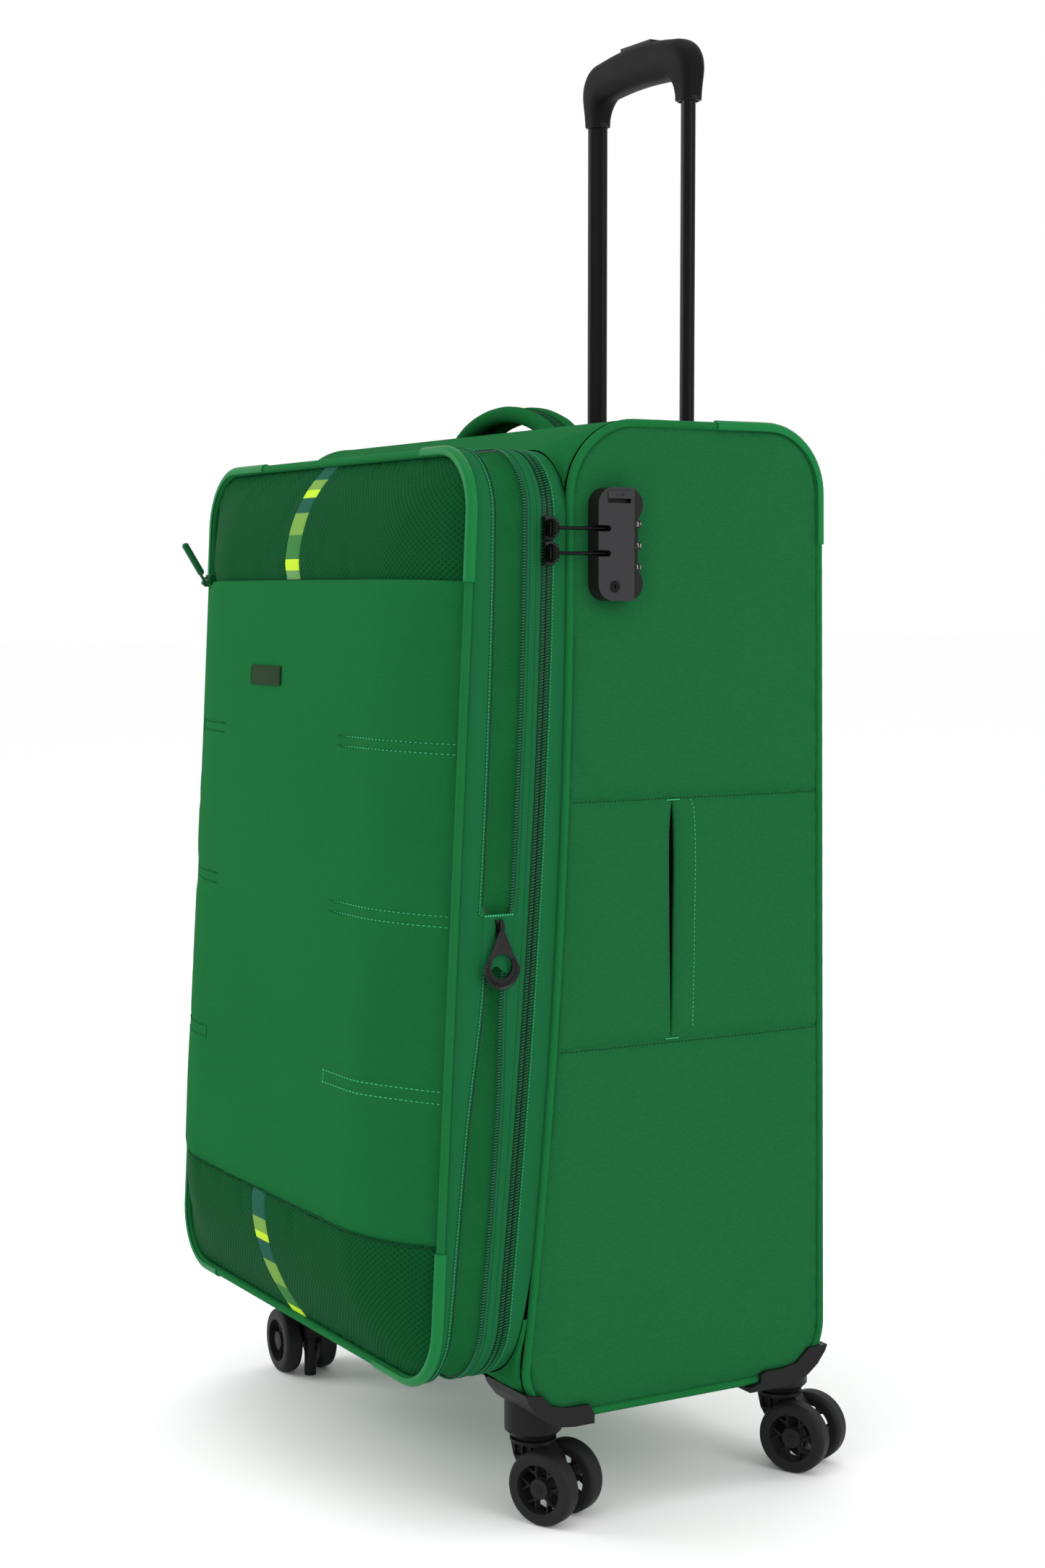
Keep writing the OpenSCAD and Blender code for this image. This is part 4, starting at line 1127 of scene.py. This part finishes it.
part.make("expansion_ring", "expansion_puller", ["gloss_black"], "black_plastic", ("expansion_puller",), 45)

# ---------------------------------------------------------------- the cloth hinge on the left

z = np.linspace(HINGE_LOW - 2, HINGE_HIGH + 2, 90)
lanes = np.linspace(0, 1, 9)
y = (zip_y(z) + 12.0)[:, None] - 20 * lanes[None]
x = -(226.4 + 1.3 * np.sin(math.pi * lanes)[None] ** 0.7
      + 0.25 * slow_noise(z[:, None], 20 * lanes[None], 80, 4))
strip = xyz(x, y, z[:, None])
part = Part().grid(strip)
for lane, off_y in ((0, -1.6), (8, 1.6)):
    stitch(part, strip[:, lane] + [-0.3, off_y, 0], (-1, 0, 0), 3.2, 2.1, 0.7, 0.2, slot=1)
o = part.make("hinge_cloth", None, ["green", "thread_dark"], "fabric_green", ("hinge_strip",), 60)
start, end = across_zip(-HALF_W, HINGE_LOW, HINGE_HIGH, 11.0, 18.0)
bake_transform(o)

# ---------------------------------------------------------------- the lid's padded front

CORNER = LID_R - PIPE_R


def swell(x, z):
    """How far the lid's padded front stands out from the piping's plane."""
    near = np.asarray(x) > 0
    ex = np.clip((PIPE_X - np.abs(x)) / np.where(near, 84, 98), 0, 1)
    high = np.clip((LZ1 - z) / 86, 0, 1)
    low = np.clip((z - LZ0) / 98, 0, 1)
    return -4 + (37.5 - z * 7 / 470) * (1 - (1 - ex) ** np.where(near, 2.1, 1.55)) * (
        1 - (1 - high) ** 2.6) * (1 - (1 - low) ** 1.9)


def front_half(z, d):
    """Half the width of the lid's front at each height, inset d."""
    over = np.maximum(0, np.maximum(z - (LZ1 - CORNER), LZ0 + CORNER - z))
    return PIPE_X - CORNER + np.sqrt(np.maximum(0, (CORNER - d) ** 2 - over ** 2))


def pucker(x, z, deep=0.7):
    """Short gathers that run out from the rounded corners."""
    total = 0
    for cx in (-1, 1):
        for cz, up in ((LZ0 + CORNER, -1), (LZ1 - CORNER, 1)):
            dx, dz = x * cx - (PIPE_X - CORNER), (z - cz) * up
            d, a = np.hypot(dx, dz), np.arctan2(dz, dx)
            total = total + np.sin(a * 15 + 2 * cx + up) * np.exp(-((d - 31) / 10) ** 2) * (
                (dx > -6) & (dz > -6)) * np.exp(-((a - 0.8) / 0.55) ** 2)
    return deep * total


def front_sheet(z, height, d=1.4):
    """Points on the lid's front, in its own frame: rows at z, with a height function of (x, z)."""
    s = np.linspace(-1, 1, 61)
    # columns stand closer together towards the sides
    x = front_half(z, d)[:, None] * (0.72 * s + 0.28 * np.sin(s * math.pi / 2))
    zz = np.repeat(z[:, None], x.shape[1], 1)
    return x, zz, xyz(x, -height(x, zz), zz)


# heights of the rows of stitches on the middle panel, in three pairs
STITCHED = [z - PIPE_Z - 1.5 for z in (565, 558, 446, 438.5, 325, 316.5)]


def main_height(x, z):
    """How far the big middle panel stands out."""
    edge = np.minimum(front_half(z, 1.4) - np.abs(x), 60)
    h = swell(x, z) + 2.0 * (1 - np.exp(-edge / 9)) + 0.45 * slow_noise(x, z, 240, 8)
    h = h - 1.9 * np.exp(-((z - SEAM_LO) / 2.6) ** 2)
    reach = 1 / (1 + np.exp(-(np.abs(x) - 112) / 5))
    for s in STITCHED:
        h = h - reach * crease(z, s, 0.4, 1.1, 7)
    return h


z = [np.linspace(SEAM_LO, SEAM_HI - 1.4, 56), SEAM_LO + np.array([1.3, 2.8, 4.6])]
z += [s + np.array([-2.4, -1.2, 0, 1.2, 2.4]) for s in STITCHED]
z = np.unique(np.round(np.concatenate(z), 2))
z = z[np.concatenate([[True], np.diff(z) > 0.7])]
x, zz, p = front_sheet(z, main_height)
p = on_lid(p)
held = edge_held(x.shape)
held[1] = 0.7
for s in STITCHED:
    held[(np.abs(zz - s) < 0.8) & (np.abs(x) > 106)] = 0.9
p = puffed(p, held, (0, -9.8, 0.4), 12, 2.4)
lip = []
for dz, dh in ((0.5, -0.25), (1.2, -0.9), (1.5, -1.8), (1.1, -2.7), (-0.6, -3.3), (-4.0, -3.4), (-9.0, -3.4)):
    lip.append(on_lid(xyz(x[-1], -(main_height(x[-1], z[-1]) + dh), z[-1] + dz)))
part = Part().grid(np.concatenate([p, np.array(lip)]), flip=True)
out_lid = np.array([0, -math.cos(LID_LEAN), -math.sin(LID_LEAN)])
# stitches on the left take the cloth's colour as painted shade, where the far side's threads lie in shade;
# those on the right use the light thread
for s in STITCHED:
    k = int(np.argmin(np.abs(z - s)))
    for sign in (-1, 1):
        at = (x[k] * sign > 105) & (x[k] * sign < 215)
        stitch(part, p[k, at], out_lid, 4.2, 3.0, 0.95, 0.3, slot=int(sign > 0))
# the short rows between each pair, coloured the same way by side: painted shade on the left
for upper, lower in zip(STITCHED[::2], STITCHED[1::2]):
    ends = [p[int(np.argmin(np.abs(z - s)))] for s in (upper, lower)]
    for i in (np.flatnonzero(x[0] > 105)[0], np.flatnonzero(x[0] < -105)[-1]):
        stitch(part, [q[i] for q in ends], out_lid, 3.4, 2.6, 0.9, 0.3, slot=int(x[0, i] > 0))
o = part.make("front_pad", "lid", ["green", "thread"], "fabric_green", ("lid_front_panel",), 60)


def top_height(x, z):
    """How far the dark panel above it stands out, with the fold in its right corner."""
    fold = np.exp(-((z - (LZ1 - 23 + 0.3 * (x - 150))) / 2.2) ** 2) * np.exp(-((x - 168) / 17) ** 4)
    return (swell(x, z) - 2.4 * np.exp(-(np.maximum(0, z - SEAM_HI) / 8) ** 2) + pucker(x, z, 1.0)
            - 1.7 * fold)


def low_height(x, z):
    """How far the dark panel below it stands out."""
    return swell(x, z) - 1.3 * np.exp(-((z - SEAM_LO) / 3) ** 2) + 0.4 + pucker(x, z)


# rows of each dark panel, dense by the seam
z_top = np.concatenate([SEAM_HI + np.array([-6, -2, 1, 3, 5.5, 9, 13, 18, 24, 31, 38.0]),
                        np.linspace(SEAM_HI + 44, LZ1 - 1.4, 16)])
z_low = np.concatenate([np.linspace(LZ0 + 1.4, SEAM_LO - 12, 24), SEAM_LO + np.array([-7, -4, -2, 0, 2.0])])
for name, z, height in (("front_top_pad", z_top, top_height), ("front_low_pad", z_low, low_height)):
    x, zz, p = front_sheet(z, height)
    p = on_lid(p)
    held = edge_held(x.shape)
    held[zz < SEAM_HI + 1] = np.maximum(held, 0.6 * (zz > 0))[zz < SEAM_HI + 1]
    p = puffed(p, held, (0, -9.8, 0), 10, 1.2)
    part = Part().grid(p, flip=True)
    if name == "front_low_pad":
        k = int(np.argmin(np.abs(z - SEAM_LO + 2)))
        part.rod(p[k, 1:-1] + out_lid * 0.1, 0.55, 6, caps=False, slot=1)
    o = part.make(name, "lid", ["dark", "thread_dark"], "fabric_dark", ("lid_end_panels",), 60)

# how much further out the ribbons and the badge lie over the puffed cloth
RIBBON_LIFT, BADGE_LIFT = ((0.7, 2.3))

# ribbons on the dark panels: shares of the length and their colours, from the top
SHARES = {"ribbon_top": ((0.134, 0), (0.089, 1), (0.072, 2), (0.134, 0), (0.191, 1), (0.208, 3), (0.095, 2),
                         (0.077, 4)),
          "ribbon_low": ((0.21, 0), (0.115, 1), (0.062, 2), (0.165, 0), (0.2, 1), (0.168, 3), (0.08, 2))}
for name, shares in SHARES.items():
    top = name == "ribbon_top"
    z_up, z_down = (LZ1 - 1.6, SEAM_HI + 0.5) if top else (SEAM_LO - 1.2, LZ0 + 1.6)
    height = top_height if top else low_height
    part, z_at = Part(), z_up
    cols = np.array([-11.6, -11.5, -10.8, -6, 0, 6, 11.6, 12.2, 12.3])
    lift = np.array([-0.3, 0.45, 0.95, 1.0, 1.0, 1.0, 0.8, 0.45, -0.3]) + RIBBON_LIFT
    for share, colour in shares:
        z_next = z_at - share * (z_up - z_down)
        z = np.linspace(z_at, z_next, 6)
        xx, zz = np.meshgrid(cols, z)
        part.grid(on_lid(xyz(xx, -(height(xx, zz) + lift), zz)), slot=colour)
        z_at = z_next
    # a dark line down each ribbon's left edge only: its stitching, darkened as painted shade under the
    # ribbon's raised edge
    z = np.linspace(z_up, z_down, 40)
    x = np.full(40, -12.0)
    part.rod(on_lid(xyz(x, -(height(x, z) + lift[1] + 0.2), z)), 0.5, 6, caps=False, slot=5)
    o = part.make(name, "lid", ["r_teal", "r_olive", "r_lime", "r_mid", "r_grey", "thread_dark"], "trim_lime",
                  ("front_trim",), 60, 0.02)
    length = length_of(on_lid(xyz(x, -height(x, z), z)))

# the plain badge
BADGE_X, BADGE_Z, BADGE_HALF_W, BADGE_HALF_H, BADGE_R = -29.0, 163.5, 27, 7.5, 1.6
badge = rounded_box(BADGE_HALF_W - BADGE_R, BADGE_R - BADGE_HALF_H, BADGE_HALF_H - BADGE_R, BADGE_R, 5)


def on_badge(a, b, d):
    """Points over the badge's outline (a, b), d above the cloth."""
    x, z = BADGE_X + a, BADGE_Z + b
    return on_lid(xyz(x, -(main_height(BADGE_X, z) + BADGE_LIFT + d), z))


part = Part()
rounded_block(part, badge, -2.4, 1.5, 0.5, on_badge)
rim = respaced(inside_path(badge, 1.3), 0.8, True)
part.grid(sweep(on_badge(*rim.T, 1.5), out_lid, circle(0.22, 6), True), wrap_a=True, wrap_b=True, slot=1)
part.make("badge", "lid", ["badge", "thread_dark"], "black_plastic", ("front_trim",), 40)

# the front pocket's zip, its slider and its cord puller
x = np.linspace(-202, 202, 120)
z = SEAM_HI + 1.6
part = Part()
for edges in ((-5, -0.6), (0.6, 4.5)):
    part.grid(np.stack([on_lid(xyz(x, 3.1 - swell(x, z), z + d)) for d in edges], 1), flip=True)
fine = respaced(on_lid(xyz(x, 3.0 - swell(x, z), z)), 1.4)
tf = tangents(fine)
part.copies(PILL, PILL_FACES, fine, np.cross(tf, out_lid) * 2.8, tf, out_lid, slot=1)
PULL = on_lid([-188.0, -21.8, SEAM_HI - 1])
LID_UP = on_lid([0, 0, 1]) - on_lid([0, 0, 0])


def by_pull(q):
    """Points given about the puller's pin, square to the lid, in the row frame."""
    q = np.asarray(q, float)
    return PULL + q[:, :1] * [1, 0, 0] - q[:, 1:2] * out_lid + q[:, 2:] * LID_UP


points, faces = box_points((-4.2, -3.4, -4.0), (4.2, 0.6, 4.6), 0.7)
part.add(by_pull(np.array(points) + [0, 6.2, 2.0]), faces, 2)
ear = np.array([[4.4, 5.2], [1.2, 4.2], [-0.9, 1.8], [-1.2, -0.4], [1.0, -2.4], [4.4, -2.6]])
part.rod(by_pull(xyz(0, *ear.T)), 0.8, 8, slot=2)
part.make("pocket_zip_line", "lid", ["tape_dark", "dark_coil_and_gap_shade", "pull"], "fabric_dark", ("pocket_zip",), 40)

# the puller stands up and out of the seam, turned a long way round from hanging
lean_c, lean_s = math.cos(math.radians(-147)), math.sin(math.radians(-147))
turned = lambda q: by_pull(np.asarray(q) @ np.array([[1, 0, 0], [0, lean_c, lean_s], [0, -lean_s, lean_c]]))
points, faces = box_points((-1.7, -1.9, -8.2), (1.7, -0.2, 0.4))
part = Part().add(turned(points), faces)
part.rod(by_pull([[-2.2, 0, 0], [2.2, 0, 0]]), 1.7, 12, out=-out_lid)
a = np.linspace(0, 1, 40)
cord_r = 2.8 * np.minimum(1, np.sqrt(np.clip(1 - ((np.abs(a - 0.5) - 0.43) / 0.07).clip(0) ** 2, 0.02, 1)))
line = turned(xyz(0, -2.1, -6.6 - 31.4 * a))
cord = line[:, None] + (tube_points(line, 1.0, 16) - line[:, None]) * cord_r[:, None, None]
part.grid(cord, wrap_b=True, caps=True, slot=1)
part.make("pocket_pull", "pocket_puller", ["pull", "pull"], "fabric_dark", ("pocket_puller",), 45)

# ---------------------------------------------------------------- carry handle

HANDLE_Y, HANDLE_Z, HANDLE_R, HANDLE_END = 29.5, 662.0, 145.0, 31.5
phi = np.radians(np.linspace(-HANDLE_END, HANDLE_END, 80))


def on_handle(angle, lift, y):
    """Points by the handle's arc: its angle from the top, above it and across it."""
    r = HANDLE_R + lift
    return xyz(r * np.sin(angle), HANDLE_Y + y, HANDLE_Z + r * np.cos(angle))


ends = np.clip((HANDLE_END - np.abs(np.degrees(phi))) / 9, 0, 1)
grow = 0.62 + 0.38 * ends ** 0.6
a = full_turn(28)
part = Part()
for side in (-1, 1):
    # a rounded roll on each edge, flatter where it meets the strap between them
    yy = side * (10.2 + 6.9 * np.cos(a))
    up = 6.4 * np.sin(a)
    lift = up[None] * grow[:, None] + 0.15 * slow_noise(phi[:, None] * 300, a[None] * 20, 60, 6)
    part.grid(on_handle(phi[:, None], lift, yy[None] * (0.86 + 0.14 * grow[:, None])),
              wrap_b=True, caps=True, flip=side > 0)
section = [(-8, 3.6), (-5, 4.5), (0, 4.9), (5, 4.5), (8, 3.6), (8, -3.4), (0, -4.2), (-8, -3.4)]
yy, up = np.array(section).T
part.grid(on_handle(phi[:, None], up[None] * grow[:, None], yy[None]), wrap_b=True, caps=True, slot=1)
for y in (-3.3, 3.3):
    line = on_handle(phi[4:-4], 5.0 * grow[4:-4], y)
    stitch(part, line, unit(line - [0, HANDLE_Y, HANDLE_Z]), 3.0, 2.0, 0.7, 0.12, slot=2)
o = part.make("handle_pad", "shell", ["handle", "inset", "thread_dark"], "fabric_green",
              ("carry_handle",), 60)
part = Part()
for side in (-1, 1):
    # the anchor: a stiff cloth patch sewn to the top under the handle's end
    edge = np.vstack([arc2(76, 20, 6, 180, 270, 5), arc2(84, 20, 6, 270, 360, 5),
                      arc2(84, 39, 6, 0, 90, 5), arc2(76, 39, 6, 90, 180, 5)])
    edge = respaced(edge, 2.0, True)
    put = lambda x, y, d, s=side: xyz(s * x, y, TOP_Z + 0.2 + d + 0.35 * np.sin(x / 5))
    rounded_block(part, edge if side > 0 else edge[::-1], -1.6, 1.6, 0.7, put)
    q = inside_path(edge, 2.0)
    stitch(part, put(*np.vstack([q, q[:1]]).T, 1.6), (0, 0, 1), 3.0, 2.0, 0.7, 0.1, slot=1)
part.make("handle_anchors", "shell", ["dark", "thread"], "fabric_green", ("carry_handle",), 60)

# ---------------------------------------------------------------- trolley grip

TUBE_X, TUBE_Y, GRIP_Z, GRIP_TOP, BAR_LOW = 67.0, 146.5, 1051.0, 1105.0, 1070.0


def grip_edges():
    """The grip's outer and inner edges, (X, Z), from the right arm's foot to the left one's."""
    top = lambda x: GRIP_TOP - 320 + np.sqrt(320.0 ** 2 - x * x)
    x = np.linspace(0, 54, 14)
    out_bar = np.stack([x, top(x)], 1)[:-1]
    out_corner = arc2(53.4, float(top(53.4)) - 26, 26, 86, 2, 14)
    out_arm = np.array([[78.8, 1068], [78.0, 1062], [77.3, 1056], [76.8, GRIP_Z]])
    x = np.linspace(0, 43, 14)
    in_bar = np.stack([x, BAR_LOW + 1.9 * (1 - (x / 43) ** 2)], 1)[:-1]
    in_corner = arc2(43, BAR_LOW - 14, 14, 88, 0, 14)
    in_arm = np.array([[57.0, 1055.4], [57.1, 1054], [57.2, 1052.5], [57.3, GRIP_Z]])
    halves = [np.vstack(q) for q in ((out_bar, out_corner, out_arm), (in_bar, in_corner, in_arm))]
    return [np.vstack([q[::-1], q[1:] * [-1, 1]]) for q in halves]


outer_edge, inner_edge = grip_edges()
mid2, half2 = (outer_edge + inner_edge) / 2, (outer_edge - inner_edge) / 2
square = 2 / 2.7  # the section is a superellipse
u, v = (np.sign(q) * np.abs(q) ** square for q in circle(1.0, 40).T)
low = np.clip((1088 - mid2[:, 1]) / 34, 0, 1)
depth = 13.2 - 3.8 * low * low * (3 - 2 * low)
rows = xyz(mid2[:, :1] + half2[:, :1] * u, TUBE_Y + depth[:, None] * v, mid2[:, 1:] + half2[:, 1:] * u)
Part().grid(rows, wrap_b=True, caps=True, flip=True).make(
    "grip_cover", "trolley", ["rubber"], "black_plastic", ("trolley_grip",), 55)
part = Part()
for side in (-1, 1):
    # the collar where each tube goes in
    u, v = circle(1.0, 36).T
    rows = [xyz(side * TUBE_X + (8.4 + gap) * u, TUBE_Y + (6.7 + gap) * v, z)
            for z, gap in ((1050.2, 0.5), (1050.2, 1.6), (1051.2, 2.0), (1053.5, 2.0))]
    part.grid(np.array(rows), wrap_b=True, flip=True)
part.make("grip_trim", "trolley", ["black"], "black_plastic", ("trolley_grip",), 50)

# ---------------------------------------------------------------- main zip sliders and lock details

SLIDER_Y, SLIDER_Z, ROD_X = -75.2, (712.4, 695.0), 237.0
part = Part()
for z in SLIDER_Z:
    slider(part, HALF_W - 0.6, SLIDER_Y, z)
    for s in (-1, 1):
        ear = xyz(np.array([229.2, 233.4, 237.0, 238.3]), SLIDER_Y, z + s * np.array([5.4, 5.3, 5.2, 5.2]))
        wide = xyz(1, np.array([3.0, 2.6, 2.5, 1.6]), 1.15)[:, None]
        g = tube_points(ear, 1.0, 14, out=(0, 1, 0)) - ear[:, None]
        part.grid(ear[:, None] + g * wide, wrap_b=True, caps=True)
    part.rod(xyz(ROD_X, SLIDER_Y, z + np.array([-5.6, 5.6])), 0.95, slot=1)
part.make("zip_sliders", "shell", ["gloss_black", "gun"], "black_plastic", ("main_zip_sliders",), 40)

# strokes of each digit on a 3 x 5 grid, for the dials' print; a point starts a new stroke
STROKES = {"0": "00 20 24 04 00", "1": "03 14 10", "2": "04 24 22 02 00 20", "3": "04 24 20 00 .02 22",
           "4": "04 02 22 .24 20", "5": "24 04 02 22 20 00", "6": "24 04 00 20 22 02", "7": "04 24 20",
           "8": "00 20 24 04 00 .02 22", "9": "00 20 24 04 02 22"}
DIAL_X, DIAL_Y, DIAL_R = 236.4, -11.2, 5.3
STROKE = np.array([[0.0, -0.16], [0.06, -0.16], [0.06, 0.16], [0.0, 0.16]])
for name, z, shown in (("top", 715.6, 3), ("middle", 700.6, 7), ("bottom", 685.6, 1)):
    part = Part()
    for k in range(10):
        turn = math.radians(36 * (k - shown))
        path, lines = [], []
        for token in STROKES[str(k)].split():
            if token[0] == ".":
                lines.append(path)
                path, token = [], token[1:]
            path.append((int(token[0]) - 1, int(token[1]) - 2))
        lines.append(path)
        for path in lines:
            fine = respaced(np.array(path, float) * [0.55, 0.62], 0.3)
            ang = turn + fine[:, 0] / DIAL_R
            out = xyz(np.cos(ang), np.sin(ang), 0)
            at = xyz(DIAL_X, DIAL_Y, z + fine[:, 1]) + (DIAL_R + 0.03) * out
            part.grid(sweep(at, out, STROKE), wrap_b=True, caps=True)
    part.make("digits_" + name, "lock_dial_" + name, ["white"], "lock_grey", (), 50)

# ---------------------------------------------------------------- inside

LINE_X = 221.2


def shell_lining():
    """The lining's strip under the top, down the back and over the floor: its line and its points."""
    line = np.vstack([[[-60, 766.0], [-46, 771.5], [-26, 777.0]], arc2(-2, 740, 39.3, 90, 88, 1),
                      arc2(96, 742, 37.2, 90, 0, 10), arc2(95.2, 127.0, 38.0, 0, -90, 10),
                      [[-56, 89.0], [-78, 92.5], [-97, 102.0]]])
    line = respaced(line, 10.0)
    x = np.linspace(-LINE_X, LINE_X, 45)
    out = -right_of(tangents(line))
    wave = 0.6 * slow_noise(np.arange(len(line))[:, None] * 10.0, x[None], 120, 21) - 0.9
    wave = wave * (1 - np.exp(-(222 - np.abs(x)) / 12))[None]
    # narrower in front, where the shell's cloth runs in to the lid's rounded corners
    low = line[:, 1] < 400
    wide = np.where(low, np.interp(line[:, 0], [-97, -78, -58], [176, 198, LINE_X]),
                    np.interp(line[:, 0], [-60, -46, -26, -4], [168, 176, 196, LINE_X])) / LINE_X
    return line, xyz(x * wide[:, None], line[:, :1] + out[:, :1] * wave, line[:, 1:] + out[:, 1:] * wave)


tray_line, tray = shell_lining()
part = Part().grid(tray, flip=True)
o = part.make("lining_round", "shell", ["lining"], "lining", ("shell_liner",), 60)
length_of(tray_line) * MM

# the right wall steps in where the pocket behind the side grip's slit is
POCKET_Y, POCKET_Z, POCKET_DEEP = (4.0, 74.0), (340.0, 525.0), 24.4
for sign in (-1, 1):
    z = np.unique([*np.linspace(97, 766, 60), POCKET_Z[0], POCKET_Z[0] + 1.5, POCKET_Z[1] - 1.5, POCKET_Z[1]])
    cols = np.linspace(0, 1, 25)
    rows = []
    for zz in z:
        front = float(np.interp(zz, [97, 118, 734, 766], [-86, -88, -52, -46]))
        front = max(front, float(front_y(min(max(zz, LOW_Z), FRONT_Z))) + 4)
        rear = float(np.interp(zz, [97, 127, 742, 766], [116, 132, 132, 122]))
        rows.append(xyz(sign * 221.6, front + (rear - front) * cols, zz))
    wall = np.array(rows)
    bump = np.zeros(wall.shape[:2])
    if sign > 0:
        inside = (wall[..., 2] >= POCKET_Z[0] - 0.1) & (wall[..., 2] <= POCKET_Z[1] + 0.1)
        for k, y in [(np.argmin(np.abs(wall[30, :, 1] - y)), y) for y in POCKET_Y]:
            wall[:, k, 1] = np.where(inside[:, 0], y, wall[:, k, 1])
        bump = ((wall[..., 1] >= POCKET_Y[0] - 0.1) & (wall[..., 1] <= POCKET_Y[1] + 0.1)
                & inside) * POCKET_DEEP
    wall[..., 0] -= sign * bump
    wall[..., 0] += -sign * 0.5 * (1 + slow_noise(wall[..., 1], wall[..., 2], 130, 31 + sign)) * (bump == 0)
    part = Part().grid(wall, flip=sign < 0)
    side = "right" if sign > 0 else "left"
    o = part.make("lining_" + side, "shell", ["lining"], "lining", ("shell_liner",), 60)

# packing straps across the inside of the back, with their buckle
STRAP_Y, STRAP_Z = 132.6, 440
for sign, side in ((-1, "left"), (1, "right")):
    x = np.linspace(24, 204, 60)
    v = np.linspace(-15, 15, 7)
    sag = 0.9 * np.sin(x / 27) * np.exp(-((x - 110) / 70) ** 2)
    rows = xyz(sign * x[:, None], (STRAP_Y - 1.2 - np.abs(sag))[:, None], STRAP_Z + v)
    section = np.concatenate([rows, rows[:, ::-1] + [0, 1.1, 0]], 1)
    part = Part().grid(section, wrap_b=True, caps=True, flip=sign < 0)
    for v0 in (-11.5, 11.5):
        stitch(part, xyz(sign * x[40:], STRAP_Y - 1.3 - np.abs(sag[40:]), STRAP_Z + v0), (0, -1, 0),
               3.2, 2.1, 0.7, 0.1, slot=1)
    o = part.make("strap_" + side, "shell", ["webbing", "thread"], "fabric_dark", ("packing_straps",), 50)
part = Part()
on_strap = lambda a, b, d: xyz(a, STRAP_Y - 0.6 - d, STRAP_Z + b)
for sign in (-1, 1):
    edge = np.array([[4, -17], [22, -19], [27, -17], [27, 17], [22, 19], [4, 17]], float) * [sign, 1]
    edge = respaced(edge if sign > 0 else edge[::-1], 1.5, True)
    rounded_block(part, edge, 0, 5.2, 1.4, on_strap)
prong = respaced(np.array([[-8, -9], [8, -9], [8, 9], [-8, 9]], float), 1.2, True)
rounded_block(part, prong, 2.0, 6.4, 1.2, on_strap)
part.make("buckle", "shell", ["black"], "black_plastic", ("packing_straps",), 40)

# lid lining: a cloth sheet with a net-pocket zip across it
NET_ZIP_Z = 150.0
z = np.concatenate([[LZ0 + 8], np.linspace(LZ0 + 14, LZ1 - 14, 60), [LZ1 - 8]])
p = front_sheet(z, lambda a, b: -4.2 - 0.5 * slow_noise(a, b, 150, 41), 7.0)[2]
o = Part().grid(on_lid(p)).make("lining_lid", "lid", ["lining"], "lining", ("lid_liner",), 60)
part = Part()
x = np.linspace(-190, 190, 90)
for edges in ((-7, -0.8), (0.8, 7.0)):
    part.grid(np.stack([on_lid(xyz(x, 5.2, NET_ZIP_Z + e)) for e in edges], 1))
fine = on_lid(xyz(np.linspace(-190, 190, 230), 5.4, NET_ZIP_Z))
tf = tangents(fine)
part.copies(PILL, PILL_FACES, fine, np.cross(tf, -out_lid) * 3.0, tf * 1.1, out_lid * -1.2, slot=1)
part.make("lid_pocket_zip", "lid", ["tape_dark", "dark_coil_and_gap_shade"], "lining", (), 40)

# ---------------------------------------------------------------- the CAD nodes that show

FINISH = {"outer_tubes": "alu", "tube_cup": "black", "tube_foot": "black", "caster_housings": "black",
          "inner_tubes": "tube", "grip_button": "black", "button_spring": "steel", "release_rods": "steel",
          "lock_body": ["black", "grey"], "lock_key_plug": "gun", "lock_button": "grey",
          "zip_pull_upper": "gun", "zip_pull_lower": "gun"}
for place_name in ("front_right", "front_left", "rear_right", "rear_left"):
    FINISH["fork_" + place_name] = "black"
    FINISH["axle_" + place_name] = "black"
    for which in ("outer", "inner"):
        FINISH[f"wheel_{place_name}_{which}"] = ["tyre", "black"]
for which in ("top", "middle", "bottom"):
    FINISH["lock_dial_" + which] = "gloss_black"
for name, mats in FINISH.items():
    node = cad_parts[name]
    mats = [mats] if isinstance(mats, str) else mats
    node.data.materials.clear()
    for m in mats:
        node.data.materials.append(M[m])
    if name == "lock_body":
        for f in node.data.polygons:
            f.material_index = int(f.center.x > 0.2415)
    edge = node.modifiers.new("soft_edges", "BEVEL")
    edge.width, edge.segments, edge.limit_method, edge.angle_limit = 0.00045, 2, "ANGLE", math.radians(35)
    edge.use_clamp_overlap = True
    edge.harden_normals = False

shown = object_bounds()
({"cad": [list(map(float, v)) for v in cad_box],
           "visual": [list(map(float, v)) for v in shown]})
